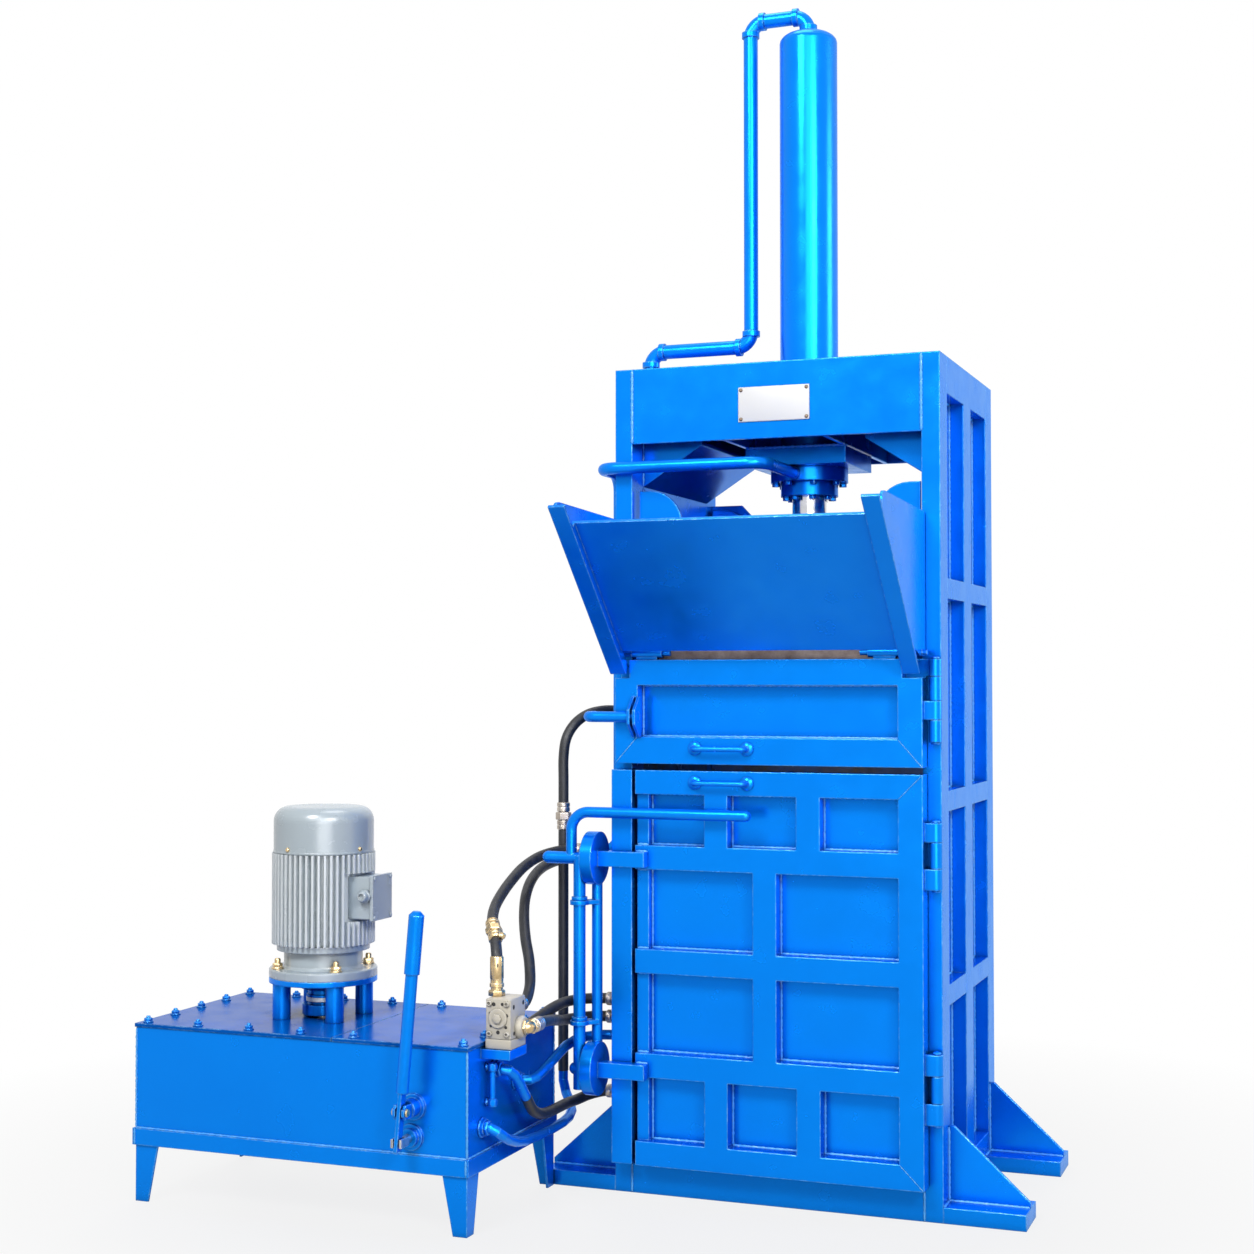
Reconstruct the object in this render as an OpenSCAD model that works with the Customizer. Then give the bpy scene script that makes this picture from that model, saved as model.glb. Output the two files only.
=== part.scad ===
// Vertical hydraulic baling press with a separate power unit.
// Millimetres. X runs to the right along the front, Y to the back and Z up.
// The origin is on the floor, under the middle of the press body.

/* [Press body] */
// Outer width of the press body
frame_w = 920; // [880:5:960]
// Outer depth of the press body
frame_d = 740; // [720:5:780]
// Height of the columns and the top beam
frame_h = 2290; // [2260:5:2340]
// Width of a corner column, seen from the front
col_w = 50; // [46:1:54]
// Depth of a corner column
col_d = 90; // [84:1:96]
// Wall of the hollow columns
col_t = 5; // [4:0.5:8]
// Thickness of the wall plates
plate_t = 8; // [6:1:10]
// Width of the upright rib in the middle of each wall
rib_w = 100; // [70:5:120]
// Height of the level ribs across the walls
rib_h = 54; // [40:2:70]
// Height of the bands at the top and the bottom of the side walls
band_h = 100; // [80:5:120]
// Height of the back wall in the middle
back_h = 1900; // [1700:10:1940]
// Height that the back wall's corners stand above its middle
back_rise = 64; // [30:2:80]
// Top of the chamber floor
floor_z = 88; // [84:1:89]
// Height of the kick plate below the lower door
kick_h = 80; // [60:1:84]

/* [Feet] */
// Length of a foot beyond the side of the press
foot_l = 215; // [180:5:220]
// Width of a foot
foot_w = 150; // [120:5:180]
// Height of a foot
foot_h = 42; // [30:1:50]
// Height of a foot's gusset on the column
gusset_h = 240; // [180:5:260]
// Plate thickness of the feet
foot_t = 8; // [6:1:12]

/* [Top beam] */
// Height of the beam's front plate
beam_h = 210; // [190:5:230]
// Thickness of the beam's plates
beam_t = 12; // [8:1:16]
// Width of the cylinder bed
bed_w = 282; // [260:2:320]
// Depth of the cylinder bed
bed_d = 300; // [280:2:340]
// Thickness of the cylinder bed
bed_h = 50; // [46:2:60]
// Width of the braces below the beam
brace_w = 175; // [140:5:190]
// Height of the braces below the beam
brace_h = 112; // [90:2:116]

/* [Cylinder and ram] */
// Outer diameter of the cylinder tube
cyl_od = 168; // [160:1:180]
// Bore of the cylinder
cyl_bore = 140; // [130:1:146]
// Height of the cylinder's shoulder above the floor
cyl_top = 3277; // [3240:5:3320]
// Rise of the domed cap above the shoulder
dome_h = 32; // [20:1:45]
// Diameter of the mounting flange
flange_d = 224; // [212:2:240]
// Thickness of the mounting flange
flange_h = 40; // [38:1:50]
// Diameter of the rod gland
gland_d = 166; // [164:2:178]
// Height of the rod gland below the flange
gland_h = 40; // [30:1:44]
// Diameter of the piston rod
rod_d = 100; // [90:1:110]
// Length of the piston
piston_h = 90; // [60:5:110]
// Thickness of the platen plate
platen_t = 20; // [14:1:30]
// Gap between the platen and the walls
platen_gap = 10; // [6:1:16]
// Underside of the platen at rest
platen_z = 1690; // [1660:5:1700]
// Height of the platen's ribs
platen_rib_h = 110; // [80:5:120]
// Top of the platen's guide plates
guide_z = 1950; // [1900:5:1955]
// Width of a guide plate
guide_w = 125; // [90:5:150]
// Running clearance of shafts, pins and the piston, on the radius
run_gap = 0.05; // [0.02:0.01:0.09]

/* [Pipes] */
// Outer diameter of the cap-end pipe
cap_pipe_d = 42; // [36:1:46]
// Outer diameter of the rod-end pipe
rod_pipe_d = 34; // [28:1:36]
// Outer diameter of the pipes at the tank
tank_pipe_d = 28; // [22:1:30]
// Wall of the pipes
pipe_t = 4; // [3:0.5:6]
// Distance of the pipes from the side of the press
pipe_off = 30; // [29:1:36]
// Diameter of the hoses
hose_d = 30; // [26:1:32]

/* [Doors] */
// Gap between a door's skin and the columns
door_gap = 6; // [4:1:8]
// Thickness of a door's skin
skin_t = 8; // [6:1:10]
// Depth of the bars on a door
bar_d = 48; // [40:1:52]
// Width of the bars on a door
bar_w = 66; // [56:1:72]
// Bottom of the lower door
lower_z0 = 92; // [91:1:110]
// Top of the lower door
lower_z1 = 1172; // [1150:2:1180]
// Bottom of the upper door
upper_z0 = 1190; // [1184:1:1196]
// Top of the upper door
upper_z1 = 1475; // [1468:1:1480]
// Distance of the hinge line from the press side
hinge_in = 10; // [6:1:12]
// Radius of a hinge knuckle
knuckle_r = 17; // [15:0.5:18]
// Diameter of a hinge pin
pin_d = 16; // [12:1:20]
// Diameter of a door handle's bar
handle_d = 14; // [10:1:18]
// Length of a door handle
handle_l = 148; // [120:2:180]

/* [Hopper] */
// Length of the hopper along its slope
hopper_l = 620; // [580:5:640]
// Lean of the hopper from upright
hopper_lean = 46; // [40:1:50]
// Sheet thickness of the hopper
hopper_t = 8; // [5:1:9]
// Depth that the hopper's panel sits behind its side bars
hopper_fold = 30; // [20:1:36]

/* [Door lock] */
// Diameter of the lock discs
disc_d = 146; // [130:2:150]
// Thickness of the lock discs
disc_t = 34; // [32:1:38]
// Height of the lock straps
strap_h = 42; // [36:1:50]
// Depth of the lock straps
strap_d = 34; // [26:1:36]
// Diameter of the turning lock tube
lock_d = 34; // [30:1:36]
// Diameter of the fixed lock tube
stay_d = 30; // [24:1:31]
// Diameter of the lock grip
grip_d = 30; // [26:1:34]
// Length of the lock grip from the lock tube
grip_l = 480; // [400:5:520]
// Diameter of the upper latch rod
latch_d = 30; // [24:1:32]

/* [Oil tank] */
// Gap between the press side and the tank
tank_gap = 185; // [180:1:200]
// Distance of the tank's front ahead of the press front
tank_ahead = 565; // [540:5:600]
// Width of the tank
tank_w = 1000; // [960:10:1040]
// Depth of the tank
tank_d = 560; // [540:5:600]
// Height of the tank's underside
tank_z = 153; // [140:1:160]
// Height of the tank
tank_h = 319; // [310:1:330]
// Wall of the tank
tank_t = 5; // [4:0.5:8]
// Thickness of the lid plates
lid_t = 8; // [6:1:10]
// Height of the skirt round the bottom of the tank
skirt_h = 45; // [30:1:50]
// Width of a leg at the top
leg_w = 70; // [60:1:90]

/* [Motor] */
// Diameter across the motor's fins
motor_d = 286; // [270:2:300]
// Diameter of the motor's flange
motor_flange_d = 300; // [294:2:320]
// Height of the stand between the lid and the motor's flange
stand_h = 114; // [106:1:125]
// Height of the motor's end shield and flange
shield_h = 92; // [80:1:100]
// Length of the finned part of the motor
motor_h = 251; // [230:1:270]
// Height of the fan cowl
cowl_h = 128; // [110:1:140]
// Number of cooling fins
fin_n = 52; // [40:1:56]
// Diameter of the motor shaft
shaft_d = 32; // [26:1:38]

/* [Hand lever] */
// Length of the lever above its pivot
lever_l = 513; // [440:1:540]
// Sideways lean of the lever
lever_lean = 5; // [0:0.5:6]
// Diameter of the lever's upper grip
lever_grip_d = 40; // [34:1:44]
// Diameter of the valve spool
spool_d = 22; // [18:1:26]

/* [Hidden] */
$fn = 48;
eps = 0.01;
cut = 1;

// Colours
blue = [0.0, 0.44, 0.93];
motor_grey = [0.62, 0.70, 0.78];
steel = [0.72, 0.73, 0.75];
chrome = [0.85, 0.86, 0.88];
brass = [0.80, 0.62, 0.25];
ivory = [0.82, 0.81, 0.76];
black = [0.06, 0.06, 0.07];

// Press body
hx = frame_w / 2;
hy = frame_d / 2;
in_x = hx - col_w;
in_y = hy - col_d;
rib_zs = [580, 1096, 1665];
back_depth = 40;
back_y = hy - back_depth;
back_corner = 100;
back_slope = 60;
floor_t = 12;
sill_t = 10;
base_beam_w = 80;
base_beam_t = 6;
post_w = 60;
post_in = 11;
post_clear = 4;

// Doors
door_back = -hy - door_gap;
skin_front = door_back - skin_t;
door_front = skin_front - bar_d;
hinge_x = hx - hinge_in;
hinge_y = (door_back + skin_front) / 2 - knuckle_r;
hinge_side_gap = 10;
door_x1 = hinge_x - knuckle_r - hinge_side_gap;
post_x0 = -hx + post_in;
post_x1 = post_x0 + post_w;
lower_x0 = post_x1 + 11;
upper_x0 = -hx + 23;
notch = 50;
rail_2 = 900;
rail_3 = 616;
rail_4 = 332;
handle_x = -130;
handle_off = 30;
knuckle_gap = 1;
// Each hinge is a list of its knuckle limits from the bottom up
upper_hinge = [1256, 1315, 1365, 1429, 1475];
lower_hinges = [[260, 317, 388, 444], [870, 926, 995, 1046]];

// Hopper: a folded sheet that leans forward from the top of the upper door
hop_y = door_front - 9;
hop_z = upper_z1 - 45;
hop_x0 = upper_x0 - hopper_t;
hop_x1 = door_x1 - 3;
hop_bar = 46;
panel_start = 75;
panel_drop = 75;
wing_back = door_back;
wing_z0 = upper_z1 + 8;
wing_top = hop_z + hopper_l * cos(hopper_lean) + 18;
wing_round = 26;
barrel_r = 13;
hop_pin_d = 14;
barrel_y = door_front + barrel_r + 1;
barrel_z = upper_z1 + barrel_r + 4;

// Door lock
lock_y = door_front - 32;
disc_gap = 16;
disc_x1 = -hx - disc_gap;
disc_x0 = disc_x1 - disc_t;
disc_y = door_front - 14;
strap_zs = [rail_4 + bar_w / 2 - 15, rail_2 + bar_w / 2 - 5];
stay_x = (disc_x0 + disc_x1) / 2;
stay_y = disc_y + 21;
stay_in = 30;
bearing_zs = [470, 800];
bearing_t = 12;
bearing_r = lock_d / 2 + 9;
lock_z0 = 294;
finger_d = 34;
lock_x = disc_x0 - finger_d / 2 - 3;
finger_l = 93;
finger_low_l = 12;
leg_off = 24;
grip_z = 1055;
grip_bend = 50;
collar_gap = 0.3;
latch_y = door_front - 24;
latch_z = 1318;
latch_x0 = upper_x0 - 78;
latch_x1 = upper_x0 + 76;
latch_leg = 66;
cheek_t = 8;
cheek_h = 112;

// Cylinder and ram
beam_z0 = frame_h - beam_h;
bed_z0 = beam_z0 - bed_h;
flange_z0 = bed_z0 - flange_h;
gland_z0 = flange_z0 - gland_h;
spigot_h = 50;
cap_plate = 22;
bore_top = cyl_top - cap_plate;
lift = 100;
piston_top = bore_top - lift - 5;
hub_d = 160;
platen_top = platen_z + platen_t;
platen_x = in_x - platen_gap;
platen_y0 = -hy + 2 * platen_gap + 5;
platen_y1 = back_y - platen_gap;
rib_t = 10;
guide_t = 10;
guide_y = platen_y0 + 8;
guide_round = 95;
fit_gap = 0.1;
bolt_n = 8;

// Pipes
riser_x = -hx - pipe_off;
cap_bend = 45;
cap_low_z = frame_h + 110;
cap_up_x = -176;
dome_top = cyl_top + dome_h;
cap_high_z = dome_top + cap_bend + 6;
cap_foot_z = 890;
branch_z = 1330;
branch_dir = [-0.643, -0.766, 0];
branch_l = 62;
port_reach = 95;
rod_pipe_y = -hy - 40;
rod_pipe_x = -15;
rod_pipe_z = flange_z0 + flange_h / 2;
rod_riser_x = -hx - 35;
rod_riser_y = -250;
rod_bend = 50;
rod_foot_z = 930;
port_boss_r = 19;

// Power unit
tank_x1 = -hx - tank_gap;
tank_x0 = tank_x1 - tank_w;
tank_y0 = -hy - tank_ahead;
tank_y1 = tank_y0 + tank_d;
tank_top = tank_z + tank_h;
lid_z = tank_top + 2;
lid_top = lid_z + lid_t;
lid_over = 4;
lid_split = tank_x0 + 606;
seam_gap = 2;
rim_w = 40;
skirt_out = 7;
leg_foot = 40;
leg_t = 6;
motor_x = tank_x0 + 417;
motor_y = tank_y0 + 285;
stand_r = 118;
post_r = 25;
stand_ring_h = 15;
stand_top = lid_top + stand_h;
shield_top = stand_top + shield_h;
motor_top = shield_top + motor_h;
fin_l = 26;
fin_t = 7;
core_r = motor_d / 2 - fin_l;
box_out = 42;
box_w = 110;
box_z0 = shield_top + 70;
box_h = 124;
cowl_t = 3;
cowl_round = 40;
coupling_hole = 45;
pump_r = 55;
pump_h = 140;
shaft_low = lid_z - 80;
shaft_high = stand_top + 60;

// Hand lever
pivot = [tank_x1 - 152, tank_y0 - 73, 321];
spool_drop = 78;
spool_z = pivot[2] - spool_drop;
spool_x = pivot[0] - spool_drop * tan(lever_lean);
bar_x = 10;
bar_y = 26;
bar_top = 62;
bar_end = 22;
lever_pin_d = 14;
fork_pin_d = 10;
slot_gap = 0.8;
cheek_clear = 4;
fork_root = 24;
tube_top = 353;
tube_r = 16;

// Valve block, gauge and ports on the tank's right side
block_x0 = tank_x1 + 10;
block_w = 73;
block_y0 = tank_y0 + 85;
block_d = 95;
block_z0 = 465;
block_h = 130;
bracket_t = 25;
gauge_y = tank_y0 + 113;
gauge_z0 = 312;
gauge_h = 112;
gauge_out = 18;
port_l = 14;
port_r = 22;

// Hose routes, from the power unit to the press
hose_1 = [[-679, -225, 290], [-679, -225, 375], [-679, -225, 460], [-679, -225, 545],
    [-679, -225, 630], [-679, -225, 715], [-679, -225, 800], [-679, -225, 885],
    [-679, -225, 970], [-679, -225, 1055], [-679, -225, 1130], [-679, -225, 1195],
    [-673, -218, 1250], [-655, -196, 1292], [-628, -164, 1319], [-596, -126.5, 1330],
    [-562, -86, 1330], [-530, -48, 1330]];
hose_2 = [[-625, -800, 640], [-625, -800, 694], [-649, -760, 742], [-682, -705, 775],
    [-706, -640, 803], [-718, -568, 832], [-722, -495, 862], [-719, -420, 892],
    [-704, -347, 915], [-670, -287, 928], [-628, -250, 930], [-590, -250, 930]];
hose_3 = [[-602, -725, 560], [-602, -672, 560], [-614, -612, 594], [-638, -562, 652],
    [-670, -515, 706], [-700, -458, 758], [-724, -395, 804], [-740, -322, 842],
    [-747, -242, 868], [-742, -162, 882], [-718, -90, 889], [-672, -32, 890],
    [-622, 0, 890], [-585, 0, 890]];
hose_4 = [[-535, -765, 517], [-535, -708, 517], [-547, -640, 509], [-563, -575, 499],
    [-577, -510, 487], [-585, -455, 478], [-586, -410, 473], [-577, -366, 470],
    [-552, -324, 469], [-515, -300, 468], [-474, -300, 468]];
hose_5 = [[-602, -725, 495], [-602, -665, 495], [-602, -605, 501], [-602, -540, 509],
    [-602, -475, 515], [-602, -415, 517], [-593, -369, 518], [-567, -326, 518],
    [-524, -300, 518], [-474, -300, 518]];
hose_6 = [[-590, -690, 312], [-590, -650, 272], [-590, -600, 250], [-591, -545, 242],
    [-591, -490, 240], [-590, -440, 240], [-588, -402, 240], [-579, -362, 241],
    [-555, -322, 250], [-516, -300, 258], [-474, -300, 258]];

// Steel pipe routes, from the tank's right side
tank_port = tank_x1 + port_l;
pipe_1 = concat([[tank_port, tank_y0 + 160, 400], [tank_x1 + 24, tank_y0 + 160, 400],
    [tank_x1 + 41, tank_y0 + 167, 396], [tank_x1 + 50, tank_y0 + 185, 380],
    [tank_x1 + 53, tank_y0 + 205, 359], [tank_x1 + 55, tank_y0 + 225, 332]], [hose_6[0]]);
pipe_2 = [[tank_port, tank_y0 + 295, 345], [tank_x1 + 24, tank_y0 + 295, 345],
    [tank_x1 + 41, tank_y0 + 303, 346], [tank_x1 + 51, tank_y0 + 323, 350],
    [tank_x1 + 53, tank_y0 + 355, 358], [tank_x1 + 54, tank_y0 + 415, 374],
    [tank_x1 + 55, tank_y0 + 475, 390], [tank_x1 + 56, tank_y0 + 515, 400],
    [tank_x1 + 65, tank_y0 + 559, 409], [-hx - 98, -hy + 26, 415],
    [-hx - 68, -hy + 52, 418], [-hx - 36, -hy + 62, 418], [-hx, -hy + 62, 418]];
pipe_3 = concat([[tank_port, tank_y0 + 85, 262], [tank_x1 + 24, tank_y0 + 85, 262],
    [tank_x1 + 41, tank_y0 + 93, 252], [tank_x1 + 48, tank_y0 + 113, 238],
    [tank_x1 + 49, tank_y0 + 145, 222], [tank_x1 + 49, tank_y0 + 195, 206],
    [tank_x1 + 49, tank_y0 + 250, 196], [tank_x1 + 49, tank_y0 + 335, 190],
    [tank_x1 + 49, tank_y0 + 435, 188], [tank_x1 + 47, tank_y0 + 515, 188],
    [tank_x1 + 41, tank_y0 + 573, 190], [-618, -308, 196], [-640, -266, 208],
    [-665, -238, 230], [-679, -225, 262]], [hose_1[0]]);

// A box between two limits on each axis
module box(x0, x1, y0, y1, z0, z1) {
    translate([x0, y0, z0])
        cube([x1 - x0, y1 - y0, z1 - z0]);
}

// Round bars along each axis
module rod_x(x0, x1, y, z, r) {
    translate([x0, y, z])
        rotate([0, 90, 0])
            cylinder(h = x1 - x0, r = r);
}
module rod_y(y0, y1, x, z, r) {
    translate([x, y0, z])
        rotate([-90, 0, 0])
            cylinder(h = y1 - y0, r = r);
}
module rod_z(z0, z1, x, y, r) {
    translate([x, y, z0])
        cylinder(h = z1 - z0, r = r);
}

// A plate cut from an outline of [y, z] points, t thick from x0
module plate_x(x0, t, outline) {
    translate([x0, 0, 0])
        rotate([90, 0, 90])
            linear_extrude(t)
                polygon(outline);
}

// A plate cut from an outline of [x, z] points, t thick from y0
module plate_y(y0, t, outline) {
    translate([0, y0 + t, 0])
        rotate([90, 0, 0])
            linear_extrude(t)
                polygon(outline);
}

// Points of an arc about a centre
function arc(c, r, from, to, steps) =
    [for (i = [0 : steps]) let (a = from + (to - from) * i / steps) c + r * [cos(a), sin(a)]];

function unit(v) = v / norm(v);
function across(d) = unit(cross(d, abs(d[2]) < 0.9 ? [0, 0, 1] : [1, 0, 0]));

// Places children with their X, Y and Z along three axes at a point
module placed(p, x, y, z) {
    multmatrix([[x[0], y[0], z[0], p[0]], [x[1], y[1], z[1], p[1]],
            [x[2], y[2], z[2], p[2]], [0, 0, 0, 1]])
        children();
}

module tube_along(p, q, r, bore) {
    d = unit(q - p);
    u = across(d);
    placed(p, u, cross(d, u), d)
        difference() {
            cylinder(h = norm(q - p), r = r);
            translate([0, 0, -cut])
                cylinder(h = norm(q - p) + 2 * cut, r = bore);
        }
}

// A quarter bend at corner p, from direction d1 to direction d2
module elbow(p, d1, d2, bend, r, bore) {
    placed(p + bend * (d2 - d1), -d2, d1, cross(-d2, d1))
        rotate_extrude(angle = 90)
            translate([bend, 0])
                difference() {
                    circle(r);
                    circle(bore);
                }
}

// A pipe with square corners, given by its corner points
module pipe_line(p, bend, r, bore) {
    last = len(p) - 1;
    for (i = [0 : last - 1]) {
        d = unit(p[i + 1] - p[i]);
        tube_along(p[i] + (i > 0 ? bend : 0) * d,
            p[i + 1] - (i + 1 < last ? bend : 0) * d, r, bore);
    }
    for (i = [1 : last - 1])
        elbow(p[i], unit(p[i] - p[i - 1]), unit(p[i + 1] - p[i]), bend, r, bore);
}

// A round tube swept along a route as one closed mesh
function tangent(p, i) =
    let (n = len(p) - 1) unit(p[min(i + 1, n)] - p[max(i - 1, 0)]);
function carried(p, i, s) =
    i == len(p) ? [] :
    let (t = tangent(p, i), u = unit(s - (s * t) * t)) concat([u], carried(p, i + 1, u));
function ring(c, t, u, r, n) =
    [for (k = [0 : n - 1]) c + r * (cos(360 * k / n) * u + sin(360 * k / n) * cross(t, u))];
module swept(p, r, n) {
    last = len(p) - 1;
    us = carried(p, 0, across(tangent(p, 0)));
    points = [for (i = [0 : last]) each ring(p[i], tangent(p, i), us[i], r, n)];
    sides = [for (i = [0 : last - 1], k = [0 : n - 1])
        let (a = i * n + k, b = i * n + (k + 1) % n) each [[a, a + n, b + n], [a, b + n, b]]];
    start = [for (k = [0 : n - 1]) k];
    end = [for (k = [n - 1 : -1 : 0]) last * n + k];
    polyhedron(points, concat(sides, [start, end]));
}

// Press body

module column(sx, sy) {
    color(blue)
        translate([sx * (hx - col_w / 2), sy * (hy - col_d / 2), 0])
            difference() {
                box(-col_w / 2, col_w / 2, -col_d / 2, col_d / 2, 0, frame_h);
                box(-col_w / 2 + col_t, col_w / 2 - col_t, -col_d / 2 + col_t,
                    col_d / 2 - col_t, -cut, frame_h - col_t);
            }
}
module column_front_left() { column(-1, -1); }
module column_front_right() { column(1, -1); }
module column_rear_left() { column(-1, 1); }
module column_rear_right() { column(1, 1); }

// A side wall: a plate level with the columns' inner faces, with ribs outside it
module side_wall() {
    x0 = in_x + plate_t;
    color(blue)
        union() {
            box(in_x, x0, -in_y, in_y, 0, frame_h);
            box(x0, hx, -in_y, in_y, 0, band_h);
            box(x0, hx, -in_y, in_y, frame_h - band_h, frame_h);
            for (z = rib_zs)
                box(x0, hx, -in_y, in_y, z - rib_h / 2, z + rib_h / 2);
            difference() {
                box(x0, hx, -rib_w / 2, rib_w / 2, 0, frame_h);
                box(x0 + col_t, hx - col_t, -rib_w / 2 + col_t, rib_w / 2 - col_t,
                    -cut, frame_h - band_h);
            }
        }
}
module side_wall_right() { side_wall(); }
module side_wall_left() { mirror([1, 0, 0]) side_wall(); }

module back_wall() {
    top = back_h + back_rise;
    c0 = in_x - back_corner;
    c1 = c0 - back_slope;
    rib_y = back_y + plate_t;
    color(blue)
        union() {
            plate_y(back_y, plate_t, [[-in_x, 0], [in_x, 0], [in_x, top], [c0, top],
                [c1, back_h], [-c1, back_h], [-c0, top], [-in_x, top]]);
            for (z = rib_zs)
                box(-in_x, in_x, rib_y, hy, z - rib_h / 2, z + rib_h / 2);
            box(-in_x, in_x, rib_y, hy, 0, band_h);
            box(-in_x, in_x, rib_y, hy, back_h - rib_h, back_h);
            box(-rib_w / 2, rib_w / 2, rib_y, hy, 0, back_h);
        }
}

// The chamber floor on three hollow beams, with the kick plate in front
module base_frame() {
    y0 = -hy + sill_t;
    z1 = floor_z - floor_t;
    color(blue)
        union() {
            box(-in_x, in_x, y0, back_y, z1, floor_z);
            box(-in_x, in_x, -hy, y0, 0, kick_h);
            for (y = [y0 + base_beam_w / 2, 0, back_y - base_beam_w / 2])
                difference() {
                    box(-in_x, in_x, y - base_beam_w / 2, y + base_beam_w / 2, 0, z1);
                    box(-in_x - cut, in_x + cut, y - base_beam_w / 2 + base_beam_t,
                        y + base_beam_w / 2 - base_beam_t, base_beam_t, z1 - base_beam_t);
                }
        }
}

// The post that the lower door closes against
module lock_post() {
    color(blue)
        difference() {
            box(post_x0, post_x1, door_front + post_clear, -hy, lower_z0, lower_z1);
            box(post_x0 + col_t, post_x1 - col_t, door_front + post_clear + col_t,
                -hy - col_t, lower_z0 - cut, lower_z1 - col_t);
        }
}

module foot(sx, sy) {
    y0 = sy > 0 ? hy - foot_w : -hy;
    mid = y0 + foot_w / 2;
    color(blue)
        mirror([sx > 0 ? 0 : 1, 0, 0])
            union() {
                difference() {
                    box(hx, hx + foot_l, y0, y0 + foot_w, 0, foot_h);
                    box(hx - cut, hx + foot_l - foot_t, y0 + foot_t, y0 + foot_w - foot_t,
                        -cut, foot_h - foot_t);
                }
                plate_y(mid - foot_t / 2, foot_t, [[hx, foot_h], [hx + foot_l, foot_h],
                    [hx + foot_l, foot_h + 15], [hx + 15, gusset_h], [hx, gusset_h]]);
            }
}
module foot_front_left() { foot(-1, -1); }
module foot_front_right() { foot(1, -1); }
module foot_rear_left() { foot(-1, 1); }
module foot_rear_right() { foot(1, 1); }

// Front, rear and top plates
module top_beam() {
    y1 = hy - beam_t;
    z1 = frame_h - beam_t;
    color(blue)
        difference() {
            union() {
                for (s = [-1, 1])
                    box(-in_x, in_x, min(s * hy, s * y1), max(s * hy, s * y1), beam_z0, frame_h);
                box(-in_x, in_x, -y1, y1, z1, frame_h);
            }
            rod_z(z1 - cut, frame_h + cut, 0, 0, cyl_od / 2 + fit_gap);
        }
}

// The bed that the cylinder hangs on, between two cross webs inside the beam
module cylinder_bed() {
    bed_x = bed_w / 2 + beam_t / 2;
    web_y = hy - beam_t;
    color(blue)
        difference() {
            union() {
                box(-bed_x, bed_x, -bed_d / 2, bed_d / 2, bed_z0, beam_z0);
                for (x = [-bed_x, bed_x - beam_t])
                    box(x, x + beam_t, -web_y, web_y, beam_z0, frame_h - beam_t);
            }
            rod_z(bed_z0 - cut, beam_z0 + cut, 0, 0, cyl_od / 2 + fit_gap);
        }
}

// Two webs under the beam's end, with a sloping plate between them
module brace() {
    z0 = beam_z0 - brace_h;
    x0 = in_x - brace_w;
    z1 = frame_h - beam_t;
    color(blue)
        union() {
            for (y = [-in_y, in_y - rib_t])
                plate_y(y, rib_t, [[in_x, z0], [in_x, z1], [x0, z1], [x0, beam_z0]]);
            plate_y(-in_y, 2 * in_y, [[in_x, z0], [x0, beam_z0], [x0, beam_z0 + rib_t],
                [in_x, z0 + rib_t]]);
        }
}
module brace_right() { brace(); }
module brace_left() { mirror([1, 0, 0]) brace(); }

// Cylinder and ram

module cylinder_tube() {
    neck = 28;
    dome = [for (a = [0 : 15 : 90])
        [neck + (cyl_od / 2 - neck) * cos(a), cyl_top + dome_h * sin(a)]];
    color(blue)
        rotate_extrude($fn = 96)
            polygon(concat([[cyl_bore / 2, flange_z0], [cyl_od / 2, flange_z0]], dome,
                [[0, dome_top], [0, bore_top], [cyl_bore / 2, bore_top]]));
}

// The flange below the bed, with the rod-end port on its front
module cylinder_flange() {
    color(blue)
        difference() {
            union() {
                rod_z(flange_z0, bed_z0, 0, 0, flange_d / 2);
                rod_y(-flange_d / 2 - 14, -cyl_od / 2 - 6, rod_pipe_x, rod_pipe_z, port_boss_r);
            }
            rod_z(flange_z0 - cut, bed_z0 + cut, 0, 0, cyl_od / 2 + fit_gap);
        }
}

module rod_gland() {
    color(blue)
        difference() {
            union() {
                rod_z(gland_z0, flange_z0, 0, 0, gland_d / 2);
                rod_z(flange_z0 - cut, flange_z0 + spigot_h, 0, 0, cyl_bore / 2 - fit_gap);
            }
            rod_z(gland_z0 - cut, flange_z0 + spigot_h + cut, 0, 0, rod_d / 2 + run_gap);
        }
}

// Hexagon heads below the flange and below the gland
module cylinder_bolts() {
    head_r = 11;
    head_h = 11;
    flange_pcr = (flange_d + gland_d) / 4;
    gland_pcr = (gland_d + rod_d) / 4;
    color(steel)
        for (i = [0 : bolt_n - 1])
            rotate([0, 0, (i + 0.5) * 360 / bolt_n]) {
                translate([flange_pcr, 0, flange_z0 - head_h])
                    cylinder(h = head_h, r = head_r, $fn = 6);
                translate([gland_pcr, 0, gland_z0 - head_h])
                    cylinder(h = head_h, r = head_r, $fn = 6);
            }
}

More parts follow.
